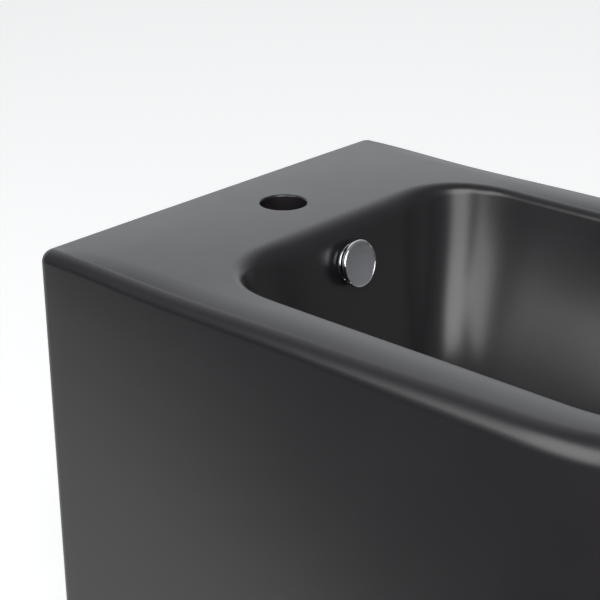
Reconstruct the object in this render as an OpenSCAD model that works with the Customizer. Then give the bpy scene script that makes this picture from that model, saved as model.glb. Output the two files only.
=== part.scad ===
// Floor standing bidet with its back to the wall.
// Origin: middle of the footprint, on the floor. +X is the right side seen from the front,
// +Y points to the wall and +Z points up. Lengths are in millimetres.

/* [Ceramic outside] */
// Width across the outside walls
body_w = 360; // [340:5:400]
// Length from the wall to the front of the rim
body_len = 550; // [530:5:600]
// Height of the rim above the floor
rim_h = 400; // [370:5:440]
// Thickness of the outside walls
wall_t = 10; // [8:0.5:13]
// Thickness of the deck and the rim
deck_t = 14; // [13:0.5:16]
// Radius of the two upright back corners
back_corner_r = 10; // [10:1:20]
// Distance from the wall to the start of the front curve
front_start = 390; // [350:5:410]
// How far the foot stands back from the front of the rim
front_rake = 45; // [10:5:70]
// Radius of the top outside edge beside the wall
edge_back_r = 9; // [6:0.5:9.5]
// Radius of the top outside edge at the front
edge_front_r = 14; // [9:0.5:16]
// Radius of the outside edge of the foot
foot_r = 2.5; // [1:0.5:4]

/* [Deck and rim] */
// Height of the crown of the deck behind the bowl
deck_crown = 5.5; // [3:0.5:7]
// Height of the crown of the rim beside the bowl
rim_crown = 1.8; // [0.5:0.1:3]

/* [Bowl] */
// Width of the opening between the two side rims
bowl_w = 284; // [260:2:292]
// Distance from the wall to the back of the opening
bowl_back = 115; // [112:1:125]
// Width of the rim at the front
bowl_front_rim = 43; // [38:1:60]
// Radius of the back corners of the opening
bowl_corner_r = 60; // [50:1:80]
// Distance from the wall to the start of the opening's front curve
bowl_front_start = 400; // [380:5:420]
// Radius of the edge from the deck into the bowl
bowl_edge_back_r = 16; // [13:0.5:17]
// Radius of the edge from the side rims into the bowl
bowl_edge_side_r = 10; // [6:0.5:13]
// Depth of the bowl below the rim
bowl_depth = 150; // [135:1:165]
// Lean of the bowl's walls from upright, in degrees
bowl_draft = 9.5; // [6:0.5:12]
// Thickness of the bowl
bowl_t = 11; // [9:0.5:13]
// Fall of the bowl's floor towards the waste
floor_fall = 9; // [4:0.5:12]

/* [Tap hole] */
// Distance from the wall to the tap hole
tap_back = 68.5; // [64:0.5:72]
// Radius of the tap hole
tap_hole_r = 17.5; // [15:0.5:18]
// Radius of the rounded lip of the tap hole
tap_lip_r = 1.5; // [0.5:0.5:2]
// Thickness left between the lip and the flat seat under the tap hole
tap_clamp_t = 12.5; // [10:0.5:12.5]
// Radius of the flat seat under the tap hole
tap_seat_r = 25; // [22:0.5:26]

/* [Waste hole] */
// Distance from the wall to the waste hole
waste_back = 250; // [240:1:262]
// Radius of the waste hole
waste_hole_r = 23; // [22:0.5:25]
// Radius of the recess for the waste flange
waste_seat_r = 33.5; // [33.5:0.5:35]
// Depth of the recess for the waste flange
waste_seat_depth = 4; // [3.5:0.25:5]
// Radius of the boss under the bowl
boss_r = 38; // [37:0.5:42]
// Height of the boss below the recess
boss_h = 38; // [37:1:45]

/* [Overflow] */
// Drop from the rim to the middle of the overflow hole
overflow_drop = 28; // [27.5:0.5:32]
// Radius of the overflow hole
overflow_hole_r = 10.5; // [9.5:0.25:10.5]
// Inside width of the overflow duct
duct_w = 30; // [24:1:34]
// Inside depth of the overflow duct
duct_gap = 14; // [11:0.5:15]
// Thickness of the overflow duct
duct_skin = 8; // [6:0.5:9]
// Radius of the overflow cap
overflow_cap_r = 17.5; // [16:0.5:18]
// Thickness of the overflow cap
overflow_cap_t = 3.6; // [3:0.1:4.5]
// Hollow of the overflow cap's face
overflow_dish = 0.9; // [0.3:0.1:1.2]
// Gap between the overflow ring and its cap
overflow_gap = 3.4; // [2.5:0.1:4]
// Radius of the overflow ring
overflow_ring_r = 15; // [14:0.5:16]
// Thickness of the overflow ring
overflow_ring_t = 1.6; // [1.2:0.1:2]
// Radius of the stem that carries the overflow cap
overflow_stem_r = 2; // [1.5:0.1:2.5]
// Thickness of the gasket behind the overflow ring
overflow_gasket_t = 1; // [0.8:0.1:1.5]

/* [Waste fitting] */
// Radius of the waste flange
flange_r = 32.5; // [32:0.25:32.75]
// Thickness of the rim of the waste flange
flange_t = 2.2; // [1.8:0.1:2.4]
// Outside radius of the waste tube
tube_r = 20.9; // [20:0.1:21.2]
// Inside radius of the waste tube
tube_bore_r = 17.6; // [16.5:0.1:18]
// Length of the waste tube below the bowl's floor
tube_len = 84; // [78:1:100]
// Width of each overflow slot in the waste tube
slot_w = 12; // [8:0.5:14]
// Thickness of the seal under the flange
upper_seal_t = 1.5; // [1:0.1:1.6]
// Thickness of the seal under the boss
lower_seal_t = 4; // [3:0.5:6]
// Thickness of the slip washer
slip_washer_t = 2; // [1.5:0.5:3]
// Height of the back nut
back_nut_h = 11; // [9:0.5:13]
// Width across the flats of the back nut
back_nut_flats = 52; // [50:1:56]

/* [Plug] */
// Radius of the plug cap
plug_r = 31; // [28:0.5:32]
// Thickness of the plug cap at its edge
plug_t = 2.5; // [2:0.1:3.5]
// Height of the plug cap's dome
plug_dome = 3.5; // [2:0.5:5]
// Travel of the plug from closed to open
plug_travel = 8; // [6:0.5:9]
// Radius of the plunger
stem_r = 4; // [3.5:0.1:4.5]
// Outside radius of the cartridge
cartridge_r = 9; // [8.5:0.1:10]
// Height of the cartridge
cartridge_h = 38; // [37:0.5:39]
// Thickness of the return spring's wire
spring_wire = 1.2; // [0.9:0.1:1.3]
// Number of turns of the return spring
spring_turns = 5; // [3:1:6]

/* [Floor fixing] */
// Distance from the wall to the side fixing holes
fixing_back = 110; // [90:1:140]
// Height of the side fixing holes
fixing_h = 55; // [48:1:70]
// Radius of the side fixing holes
fixing_hole_r = 7; // [6.5:0.1:8]
// Radius of the side screws
screw_r = 4; // [3.5:0.1:4.2]
// Radius of the side screws' heads
screw_head_r = 7.2; // [6.8:0.1:7.6]
// Thickness of the bracket plate
plate_t = 3; // [2.5:0.5:4]
// Length of each bracket along the wall of the body
bracket_len = 54; // [48:2:70]
// Width of each bracket's foot
bracket_foot_w = 50; // [44:2:60]
// Height of each bracket
bracket_h = 78; // [76:1:90]
// Radius of the floor screw holes in the brackets
floor_hole_r = 4.5; // [3.5:0.1:5]
// Distance between the two floor screw holes of a bracket
floor_hole_pitch = 28; // [24:1:32]
// Stand-off between the outside wall and the bracket
bracket_gap = 3; // [2:0.5:5]

/* [Hidden] */

$fn = 96;
// Overrun of a cut past the face that it opens
cut = 1;
// Gap left between two faces that seat on each other
seat_gap = 0.15;
// Radial gap of a thread or a push fit
fit_gap = 0.1;
// Radial gap of the plunger in its guide
slide_gap = 0.05;
// Gap kept round a moving piece
run_gap = 0.3;

// Columns of the casting's surface in each stretch of half an outline
back_n = 6;
corner_n = 7;
side_n = 6;
front_n = 13;
half_n = back_n + corner_n + side_n + front_n;
ring_n = 2 * half_n;
// Rings of the rounded edges and of the bowl
edge_n = 5;
bowl_edge_n = 5;
bowl_n = 12;
bowl_end_angle = 81;
// Fullness of the plan curves and of the bowl's section
front_full = 2.15;
bowl_front_full = 2.3;
bowl_full = 3.4;
// Heights of the outside wall's rings, places of the deck's rings and bend of the rake
wall_shares = [0.2, 0.45, 0.72];
deck_shares = [0.12, 0.28, 0.45, 0.62, 0.8];
rake_bend = 1.5;
inside_corner_r = back_corner_r * 0.6;

// The crown's peak lies nearer the outside edge, and this factor makes the peak one unit high
crown_peak = pow(4, 4 / 3) / 3;

y_wall = body_len / 2;
waste_c = [0, y_wall - waste_back];
bowl_floor_z = rim_h - bowl_depth;

function mix(a, b, s) = a + (b - a) * s;
function smooth(s) = let (c = min(1, max(0, s))) c * c * (3 - 2 * c);
function half_index(c) = c <= half_n ? c : ring_n - c;
function side_of(c) = c <= half_n ? 1 : -1;

// Point j of half an outline, from the middle of the back round to the middle of the front
function half_pt(j, hw, y_back, y_front, y_start, r, full) =
    j <= back_n ? [(hw - r) * j / back_n, y_back] :
    j <= back_n + corner_n ?
        let (a = 90 * (j - back_n) / corner_n) [hw - r + r * sin(a), y_back - r + r * cos(a)] :
    j <= back_n + corner_n + side_n ?
        [hw, mix(y_back - r, y_start, (j - back_n - corner_n) / side_n)] :
    let (a = 90 * (j - back_n - corner_n - side_n) / front_n)
        [hw * pow(cos(a), 2 / full), mix(y_start, y_front, pow(sin(a), 2 / full))];

// Outline of the outside walls, drawn in by e, at a share h of the height
function body_pt(j, e, h) =
    let (r = e > 0 ? max(back_corner_r - e, inside_corner_r) : back_corner_r)
    half_pt(j, body_w / 2 - e, y_wall - e, -y_wall + front_rake * pow(1 - h, rake_bend) + e,
        y_wall - front_start, r, front_full);

// Outline of the rounded top edge, which has its own corner radius so that it stays round
function edge_pt(j, e) =
    half_pt(j, body_w / 2 - e, y_wall - e, -y_wall + e, y_wall - front_start,
        max(back_corner_r - e, 0), front_full);

// Outline of the bowl's opening, drawn in by e
function open_pt(j, e) =
    half_pt(j, bowl_w / 2 - e, y_wall - bowl_back - e, -y_wall + bowl_front_rim + e,
        y_wall - bowl_front_start, bowl_corner_r - e, bowl_front_full);

// One at the deck, falling to nothing where the side rims start
function deck_weight(j) = 1 - smooth((j - back_n / 2) / (corner_n + back_n / 2));
function edge_r(j) =
    let (s = (y_wall - edge_pt(j, 0)[1]) / body_len)
    min(mix(edge_back_r, edge_front_r, smooth((s - 0.25) / 0.6)), body_w / 2);
function top_len(j) = norm(edge_pt(j, 0) - open_pt(j, 0));
function crown(j, t) =
    mix(rim_crown, deck_crown, deck_weight(j)) * crown_peak * (1 - t) * (1 - (1 - t) * (1 - t) * (1 - t));

function bowl_edge_r(j) = mix(bowl_edge_side_r, bowl_edge_back_r, deck_weight(j));
function bowl_edge_in(j) = bowl_edge_r(j) * cos(bowl_draft);
function lip_z(j) =
    rim_h + crown(j, 1 + bowl_edge_in(j) / top_len(j)) - bowl_edge_r(j) * (1 - sin(bowl_draft));

// Section of the bowl below its rounded edge: share of the reach and share of the drop
function bowl_angle(k) = bowl_end_angle * k / bowl_n;
wall_reach = y_wall - bowl_back - bowl_edge_in(0) - waste_c[1];
wall_drop = lip_z(0) - bowl_floor_z;
draft_share = tan(bowl_draft) * wall_drop / wall_reach;
function drop_share(k) = pow(sin(bowl_angle(k)), 2 / bowl_full);
function reach_share(k) = pow(cos(bowl_angle(k)), 2 / bowl_full) * (1 - draft_share * drop_share(k));
fall_share = floor_fall / bowl_depth;
function depth_share(k) =
    drop_share(k) * (1 - fall_share * reach_share(k)) / (1 - fall_share * reach_share(bowl_n))
    / drop_share(bowl_n);
flat_r = waste_seat_r + boss_r * 0.08;
function round_share(k) = pow(max(0, (k - bowl_n / 2) / (bowl_n / 2)), 2);

// Bowl ring k at column j, from an outline that is drawn in by e and ends on a circle
function bowl_plan(j, k, e, end_r) =
    let (d = open_pt(j, e) - waste_c, s = reach_share(k))
    waste_c + mix(d * s, d / norm(d) * end_r * s / reach_share(bowl_n), round_share(k));
function bowl_in(j, k) =
    let (p = bowl_plan(j, k, bowl_edge_in(j), flat_r))
    [p[0], p[1], mix(lip_z(j), bowl_floor_z, depth_share(k))];
under_r = boss_r * 1.15;
function bowl_out(j, k) =
    let (p = bowl_plan(j, k, bowl_edge_in(j) - bowl_t, under_r))
    [p[0], p[1], mix(lip_z(j), bowl_floor_z, depth_share(k)) - bowl_t * drop_share(k)];

// Points of the top, from the bowl's edge out over the rim and down the outside
function bowl_edge_at(j, f) =
    let (a = (90 - bowl_draft) * f / bowl_edge_n, e = bowl_edge_r(j) * sin(a), p = open_pt(j, e))
    [p[0], p[1], rim_h + crown(j, 1 + e / top_len(j)) - bowl_edge_r(j) * (1 - cos(a))];
function deck_at(j, s) =
    let (p = mix(edge_pt(j, edge_r(j)), open_pt(j, 0), s), t = mix(edge_r(j) / top_len(j), 1, s))
    [p[0], p[1], rim_h + crown(j, t)];
function edge_at(j, f) =
    let (a = 90 * f / edge_n, e = edge_r(j) * (1 - cos(a)), p = edge_pt(j, e))
    [p[0], p[1], rim_h + crown(j, e / top_len(j)) - edge_r(j) * (1 - sin(a))];
function wall_at(j, h, e) =
    let (p = body_pt(j, e, h)) [p[0], p[1], h * (rim_h - edge_r(j))];

// Points of the underside, from the foot up inside the walls and over to the bowl
under_bend = deck_t * 0.6;
function roof_z(j, t) = rim_h + crown(j, t) - deck_t;
function roof_at(j, s) =
    let (
        a = body_pt(j, wall_t + under_bend, 1),
        b = open_pt(j, bowl_edge_in(j) - bowl_t - under_bend),
        ta = (wall_t + under_bend) / top_len(j),
        tb = 1 + (bowl_edge_in(j) - bowl_t - under_bend) / top_len(j)
    )
    [mix(a, b, s)[0], mix(a, b, s)[1], roof_z(j, mix(ta, tb, s))];
function inner_wall_at(j, h) =
    let (p = body_pt(j, wall_t, h)) [p[0], p[1], h * (rim_h - deck_t - under_bend)];
function bowl_root_at(j) =
    let (p = open_pt(j, bowl_edge_in(j) - bowl_t)) [p[0], p[1], roof_z(j, 1) - under_bend];
function circle_at(j, r, z) =
    let (d = open_pt(j, 0) - waste_c, p = waste_c + d / norm(d) * r) [p[0], p[1], z];

boss_z = bowl_floor_z - waste_seat_depth - boss_h;
function station(i, j) =
    let (
        n1 = bowl_n + 1, n2 = n1 + bowl_edge_n, n3 = n2 + len(deck_shares), n4 = n3 + edge_n + 1,
        n5 = n4 + len(wall_shares), n6 = n5 + 3, n7 = n6 + len(wall_shares) + 1, n8 = n7 + 3,
        n9 = n8 + 1 + bowl_n
    )
    i < n1 ? bowl_in(j, bowl_n - i) :
    i < n2 ? bowl_edge_at(j, n2 - 1 - i) :
    i < n3 ? deck_at(j, deck_shares[n3 - 1 - i]) :
    i < n4 ? edge_at(j, n4 - 1 - i) :
    i < n5 ? wall_at(j, wall_shares[n5 - 1 - i], 0) :
    i == n5 ? let (p = body_pt(j, 0, 0)) [p[0], p[1], foot_r] :
    i == n5 + 1 ? wall_at(j, 0, foot_r) :
    i == n5 + 2 ? wall_at(j, 0, wall_t) :
    i < n7 - 1 ? inner_wall_at(j, wall_shares[i - n6]) :
    i < n7 ? inner_wall_at(j, 1) :
    i < n8 ? roof_at(j, (i - n7) / 2) :
    i < n8 + 1 ? bowl_root_at(j) :
    i < n9 ? bowl_out(j, i - n8) :
    i == n9 ? circle_at(j, boss_r, bowl_floor_z - bowl_t - (under_r - boss_r)) :
    circle_at(j, boss_r, boss_z);
station_n = bowl_n + 1 + bowl_edge_n + len(deck_shares) + edge_n + 1 + len(wall_shares) + 3
    + len(wall_shares) + 1 + 3 + 1 + bowl_n + 2;

casting_points = [
    for (i = [0 : station_n - 1]) for (c = [0 : ring_n - 1])
        let (p = station(i, half_index(c))) [side_of(c) * p[0], p[1], p[2]]
];
function at(i, c) = i * ring_n + (c % ring_n);
casting_faces = concat(
    [[for (c = [0 : ring_n - 1]) at(0, c)]],
    [for (i = [0 : station_n - 2]) for (c = [0 : ring_n - 1]) [at(i, c), at(i + 1, c), at(i + 1, c + 1)]],
    [for (i = [0 : station_n - 2]) for (c = [0 : ring_n - 1]) [at(i, c), at(i + 1, c + 1), at(i, c + 1)]],
    [[for (c = [0 : ring_n - 1]) at(station_n - 1, ring_n - 1 - c)]]
);

// Overflow hole: where the bowl's back wall has the chosen drop, and square to that wall
lip_pt = [bowl_in(0, 0)[1], bowl_in(0, 0)[2]];
low_pt = [bowl_in(0, 1)[1], bowl_in(0, 1)[2]];
overflow_share = (lip_pt[1] - rim_h + overflow_drop) / (lip_pt[1] - low_pt[1]);
overflow_pt = mix(lip_pt, low_pt, overflow_share);
overflow_tilt = atan((lip_pt[0] - low_pt[0]) / (lip_pt[1] - low_pt[1]));

// Overflow duct: the back of the bowl, followed at a steady distance down to the waste boss
duct_seam = seat_gap * 4;
function duct_pt(k) =
    let (p = k == 0 ? bowl_root_at(0) : bowl_out(0, k)) [p[1], p[2]];
function duct_dir(k) =
    let (d = duct_pt(min(k + 1, bowl_n)) - duct_pt(max(k - 1, 0)), n = [-d[1], d[0]]) n / norm(n);
function duct_line(off, last) = [for (k = [0 : last]) duct_pt(k) + duct_dir(k) * off];
function turned(list) = [for (i = [len(list) - 1 : -1 : 0]) list[i]];
duct_roof_z = duct_pt(bowl_n)[1] - duct_seam;
duct_last = bowl_n - 1;

// Overflow fitting along its own axis, from the wall out
ring_z = seat_gap + overflow_gasket_t + seat_gap;
cap_z = ring_z + overflow_ring_t + overflow_gap;
sleeve_r = overflow_hole_r - fit_gap * 2;
sleeve_t = 1.5;
hub_r = overflow_stem_r * 1.8;
// Thickness of the bowl's wall along the overflow's axis, and the barbs that grip behind it
duct_wall = duct_line(duct_seam, 1);
duct_wall_run = duct_wall[1] - duct_wall[0];
duct_wall_normal = [-duct_wall_run[1], duct_wall_run[0]];
overflow_axis = [cos(overflow_tilt), -sin(overflow_tilt)];
overflow_wall_t = (duct_wall[0] - overflow_pt) * duct_wall_normal / (overflow_axis * duct_wall_normal);
duct_lean = abs(atan(duct_wall_run[0] / duct_wall_run[1]) - overflow_tilt);
barb_r = overflow_hole_r + sleeve_t * 0.4;
barb_z = -overflow_wall_t - barb_r * tan(duct_lean) - seat_gap;
leg_len = sleeve_t * 1.5 - barb_z;

// Heights of the waste fitting
seat_z = bowl_floor_z - waste_seat_depth;
upper_seal_z = seat_z + seat_gap;
flange_z = upper_seal_z + upper_seal_t + seat_gap;
flange_top_z = flange_z + flange_t;
tube_z = bowl_floor_z - tube_len;
lower_seal_z = boss_z - seat_gap - lower_seal_t;
slip_washer_z = lower_seal_z - seat_gap - slip_washer_t;
back_nut_z = slip_washer_z - seat_gap - back_nut_h;
funnel_r = flange_r * 0.83;
funnel_drop = flange_t * 1.6;
mouth_r = tube_bore_r * 1.12;
// Groove that parts the back nut's thread from the thread that takes the trap
relief_h = slip_washer_t;
relief_depth = fit_gap * 8;
relief_z = back_nut_z - relief_h * 1.5;
// Cartridge, from its top down
cartridge_top_z = bowl_floor_z - plug_travel;
cartridge_z = cartridge_top_z - cartridge_h;
cap_h = cartridge_h * 0.13;
chamber_r = cartridge_r - 2 * spring_wire + fit_gap * 4;
cartridge_floor_t = cartridge_h * 0.08;
spider_t = tube_r - tube_bore_r;
spider_boss_r = stem_r * 2;
spider_h = cartridge_h * 0.26;
stud_len = spider_h * 0.9;
// Plunger
latch_h = cartridge_h * 0.17;
collar_h = cartridge_h * 0.08;
collar_r = chamber_r - run_gap;
collar_z = cartridge_top_z - cap_h - latch_h - seat_gap - plug_travel - run_gap - collar_h;
tip_r = stem_r * 0.85;
plug_z = flange_top_z + run_gap;
hub_low_z = cartridge_top_z + run_gap;
stem_top_z = plug_z + plug_t * 0.6;
plug_hub_r = stem_r * 1.9;
// Seal under the plug cap, bevelled like the flange's funnel
seal_out_r = funnel_r - run_gap;
seal_in_r = mouth_r + (funnel_r - mouth_r) * 0.35;
// Return spring
chamber_floor_z = cartridge_z + cartridge_floor_t;
spring_low_z = chamber_floor_z + spring_wire / 2 + seat_gap;
spring_high_z = collar_z - spring_wire / 2 - seat_gap;
spring_r = (tip_r + chamber_r) / 2;

// Side fixing
inner_x = body_w / 2 - wall_t;
bracket_x = inner_x - bracket_gap;
upright_x = bracket_x - seat_gap;
nut_x = upright_x - plate_t - seat_gap;
nut_h = screw_r * 1.6;
nut_r = screw_r * 1.85;
sleeve_flange_t = screw_head_r - screw_r + seat_gap;
sleeve_flange_r = fixing_hole_r * 1.4;
side_cap_t = 1.2;
side_cap_r = sleeve_flange_r + side_cap_t + fit_gap;
fixing_y = y_wall - fixing_back;
foot_hole_x = upright_x - bracket_foot_w * 0.58;

body_colour = [0.17, 0.165, 0.17];
chrome_colour = [0.8, 0.81, 0.83];
satin_colour = [0.62, 0.62, 0.62];
rubber_colour = [0.06, 0.06, 0.06];
nylon_colour = [0.88, 0.88, 0.86];
brass_colour = [0.78, 0.66, 0.36];
steel_colour = [0.6, 0.62, 0.64];

// Solid ring with a round hole, standing on z
module washer(r_out, r_in, h, z) {
    translate([0, 0, z]) difference() {
        cylinder(r = r_out, h = h);
        translate([0, 0, -cut]) cylinder(r = r_in, h = h + 2 * cut);
    }
}

// Square with two round top corners, for the opening in the back
module arch(w, h, r) {
    translate([-w / 2, 0]) square([w, h - r]);
    translate([-w / 2 + r, 0]) square([w - 2 * r, h]);
    for (s = [-1, 1]) translate([s * (w / 2 - r), h - r]) circle(r = r);
}

// Extrudes a profile drawn in Y and Z along X, centred on X
module along_x(w) {
    translate([-w / 2, 0, 0]) rotate([90, 0, 90]) linear_extrude(w) children();
}

module at_waste() {
    translate([waste_c[0], waste_c[1], 0]) children();
}

module at_overflow() {
    translate([0, overflow_pt[0], overflow_pt[1]]) rotate([90 - overflow_tilt, 0, 0]) children();
}

// Places a piece on the axis of each side fixing, with +Z pointing out of the body
module at_fixings() {
    for (s = [-1, 1]) translate([0, fixing_y, fixing_h]) rotate([0, 90 * s, 0]) children();
}

module duct_solid() {
    low = duct_roof_z - duct_gap - duct_skin;
    end_y = waste_c[1] + boss_r * 0.8;
    along_x(duct_w + 2 * duct_skin) polygon(concat(
        duct_line(duct_gap + duct_skin, duct_last),
        [[duct_pt(duct_last)[0], low], [end_y, low], [end_y, duct_roof_z + bowl_t / 2]],
        turned(duct_line(-bowl_t / 3, duct_last)),
        [[duct_pt(0)[0] - bowl_t / 3, duct_pt(0)[1] + deck_t],
            [duct_pt(0)[0] + duct_gap + duct_skin, duct_pt(0)[1] + deck_t]]
    ));
}

module duct_hollow() {
    low = duct_roof_z - duct_gap;
    end_y = waste_c[1] + waste_hole_r * 0.7;
    rise = [0, under_bend * 0.7];
    along_x(duct_w) polygon(concat(
        [duct_line(duct_gap, 0)[0] + rise],
        duct_line(duct_gap, duct_last),
        [[duct_pt(duct_last)[0], low], [end_y, low], [end_y, duct_roof_z]],
        turned(duct_line(duct_seam, duct_last)),
        [duct_line(duct_seam, 0)[0] + rise]
    ));
}

module ceramic_body() {
    back_arch_h = rim_h - bowl_back * 0.65;
    tap_share = (tap_back - edge_back_r) / (bowl_back - edge_back_r);
    tap_z = deck_at(0, tap_share)[2];
    tap_run = deck_at(0, tap_share * 0.8) - deck_at(0, tap_share * 1.2);
    tap_slope = atan(tap_run[2] / tap_run[1]);
    color(body_colour) difference() {
        union() {
            polyhedron(points = casting_points, faces = casting_faces, convexity = 6);
            duct_solid();
        }
        duct_hollow();
        // Tap hole, its rounded lip and the flat seat under it
        translate([0, y_wall - tap_back, 0]) {
            translate([0, 0, tap_z - 2 * tap_clamp_t]) cylinder(r = tap_hole_r, h = 3 * tap_clamp_t);
            translate([0, 0, tap_z - tap_clamp_t - deck_t]) cylinder(r = tap_seat_r, h = deck_t);
            translate([0, 0, tap_z]) rotate([tap_slope, 0, 0]) rotate_extrude() difference() {
                translate([0, -tap_lip_r]) square([tap_hole_r + tap_lip_r, tap_lip_r + deck_crown]);
                translate([tap_hole_r + tap_lip_r, -tap_lip_r]) circle(r = tap_lip_r);
            }
        }
        // Waste hole and the recess for its flange
        at_waste() {
            translate([0, 0, boss_z - cut]) cylinder(r = waste_hole_r, h = boss_h + 2 * cut);
            translate([0, 0, seat_z]) cylinder(r = waste_seat_r, h = waste_seat_depth + cut);
        }
        // Overflow hole through the bowl's back wall
        at_overflow() translate([0, 0, -bowl_t - duct_gap / 2])
            cylinder(r = overflow_hole_r, h = bowl_t + duct_gap / 2 + cut);
        // Opening in the back for the pipes
        translate([0, y_wall + cut, -cut]) rotate([90, 0, 0]) linear_extrude(wall_t + 2 * cut)
            arch(body_w - 6 * wall_t, back_arch_h, 3 * wall_t);
        // Side fixing holes
        at_fixings() translate([0, 0, inner_x - cut]) cylinder(r = fixing_hole_r, h = wall_t + 2 * cut);
    }
}

module overflow_gasket() {
    color(rubber_colour) at_overflow()
        washer(overflow_ring_r - overflow_gasket_t, overflow_hole_r, overflow_gasket_t, seat_gap);
}

// Push-in ring: flange, split sleeve with barbs behind the wall, and a hub on three arms
module overflow_ring() {
    arm_h = overflow_ring_t;
    color(chrome_colour) at_overflow() {
        difference() {
            rotate_extrude() polygon([
                [sleeve_r - sleeve_t, -leg_len], [sleeve_r - sleeve_t / 2, -leg_len],
                [barb_r, barb_z - sleeve_t / 2], [barb_r, barb_z], [sleeve_r, barb_z],
                [sleeve_r, ring_z], [overflow_ring_r, ring_z],
                [overflow_ring_r, ring_z + overflow_ring_t * 0.6],
                [overflow_ring_r - overflow_ring_t * 0.4, ring_z + overflow_ring_t],
                [sleeve_r - sleeve_t, ring_z + overflow_ring_t]
            ]);
            for (a = [45, 135]) rotate([0, 0, a]) translate([-barb_r - cut, -sleeve_t, -leg_len - cut])
                cube([2 * (barb_r + cut), 2 * sleeve_t, leg_len - sleeve_t + cut]);
        }
        for (a = [90, 210, 330]) rotate([0, 0, a]) difference() {
            translate([0, -sleeve_t / 2, ring_z]) cube([sleeve_r - sleeve_t / 2, sleeve_t, arm_h]);
            translate([0, 0, ring_z - cut]) cylinder(r = hub_r * 0.8, h = arm_h + 2 * cut);
        }
        washer(hub_r, overflow_stem_r + fit_gap, arm_h + sleeve_r / 2, ring_z - sleeve_r / 2);
    }
}

// Cap: dished disc with a rounded rim, on a stem that pushes into the ring's hub
module overflow_cap() {
    lip = overflow_cap_t / 2;
    stem_z = ring_z - sleeve_r / 2;
    color(satin_colour) at_overflow() {
        translate([0, 0, cap_z]) rotate_extrude() {
            translate([overflow_cap_r - lip, lip]) circle(r = lip);
            polygon([
                [0, 0], [overflow_cap_r - lip, 0], [overflow_cap_r - lip, overflow_cap_t],
                [overflow_cap_r - 2 * lip, overflow_cap_t - overflow_dish / 2],
                [overflow_cap_r / 2, overflow_cap_t - overflow_dish * 0.9],
                [0, overflow_cap_t - overflow_dish]
            ]);
        }
        translate([0, 0, stem_z]) cylinder(r = overflow_stem_r, h = cap_z - stem_z + lip);
    }
}

// Waste: dished flange, tube with four overflow slots, and a spider that carries the cartridge
module waste_body() {
    slot_h = duct_gap * 0.85;
    slot_z = duct_roof_z - duct_gap + (duct_gap - slot_h) / 2;
    color(chrome_colour) at_waste() {
        difference() {
            rotate_extrude() polygon([
                [tube_bore_r, tube_z], [tube_r - spider_t / 3, tube_z], [tube_r, tube_z + spider_t / 3],
                [tube_r, relief_z], [tube_r - relief_depth, relief_z],
                [tube_r - relief_depth, relief_z + relief_h], [tube_r, relief_z + relief_h],
                [tube_r, flange_z], [flange_r, flange_z], [flange_r, flange_top_z - flange_t / 3],
                [flange_r - flange_t / 3, flange_top_z], [funnel_r, flange_top_z],
                [mouth_r, flange_top_z - funnel_drop], [tube_bore_r, flange_top_z - 2 * funnel_drop]
            ]);
            for (a = [0, 90]) rotate([0, 0, a]) translate([-slot_w / 2, -tube_r - cut, slot_z])
                cube([slot_w, 2 * (tube_r + cut), slot_h]);
        }
        for (a = [45, 165, 285]) rotate([0, 0, a]) difference() {
            translate([0, -spider_t / 2, cartridge_z - seat_gap - spider_h])
                cube([tube_bore_r + spider_t / 2, spider_t, spider_h * 0.8]);
            translate([0, 0, cartridge_z - seat_gap - spider_h - cut])
                cylinder(r = spider_boss_r * 0.8, h = spider_h + 2 * cut);
        }
        washer(spider_boss_r, stem_r + fit_gap, spider_h, cartridge_z - seat_gap - spider_h);
    }
}

module upper_seal() {
    color(rubber_colour) at_waste()
        washer(flange_r - upper_seal_t, waste_hole_r + upper_seal_t / 2, upper_seal_t, upper_seal_z);
}

// Lower seal: its inner lip rises into the waste hole
module lower_seal() {
    lip_r = waste_hole_r - run_gap;
    color(rubber_colour) at_waste() rotate_extrude() polygon([
        [tube_r + fit_gap, lower_seal_z], [boss_r - lower_seal_t, lower_seal_z],
        [boss_r - lower_seal_t, lower_seal_z + lower_seal_t], [lip_r, lower_seal_z + lower_seal_t],
        [tube_r + (lip_r - tube_r) / 2, lower_seal_z + lower_seal_t * 1.6],
        [tube_r + fit_gap, lower_seal_z + lower_seal_t * 1.6]
    ]);
}

module slip_washer() {
    color(nylon_colour) at_waste()
        washer(boss_r - lower_seal_t * 1.2, tube_r + fit_gap, slip_washer_t, slip_washer_z);
}

// Back nut: six flats, with the corners turned off
module back_nut() {
    color(brass_colour) at_waste() translate([0, 0, back_nut_z]) difference() {
        intersection() {
            cylinder(r = back_nut_flats / 2 / cos(30), h = back_nut_h, $fn = 6);
            cylinder(r = back_nut_flats / 2 * 1.1, h = back_nut_h);
        }
        translate([0, 0, -cut]) cylinder(r = tube_r + fit_gap, h = back_nut_h + 2 * cut);
    }
}

module cartridge_body() {
    cup_top = cartridge_top_z - cap_h - seat_gap;
    color(nylon_colour) at_waste() {
        translate([0, 0, cartridge_z - stud_len])
            cylinder(r = stem_r, h = stud_len + cartridge_floor_t / 2);
        difference() {
            translate([0, 0, cartridge_z]) cylinder(r = cartridge_r, h = cup_top - cartridge_z);
            translate([0, 0, chamber_floor_z]) cylinder(r = chamber_r, h = cartridge_h);
        }
    }
}

// Guide that closes the cartridge, with a short spigot into the cup
module cartridge_cap() {
    spigot_t = spring_wire;
    color(nylon_colour) at_waste() translate([0, 0, cartridge_top_z - cap_h]) difference() {
        union() {
            cylinder(r = cartridge_r, h = cap_h);
            translate([0, 0, -cap_h / 3]) cylinder(r = chamber_r - fit_gap, h = cap_h / 2);
        }
        translate([0, 0, -cap_h]) cylinder(r = stem_r + slide_gap, h = 3 * cap_h);
        translate([0, 0, -cap_h]) cylinder(r = chamber_r - fit_gap - spigot_t, h = cap_h);
    }
}

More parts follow.
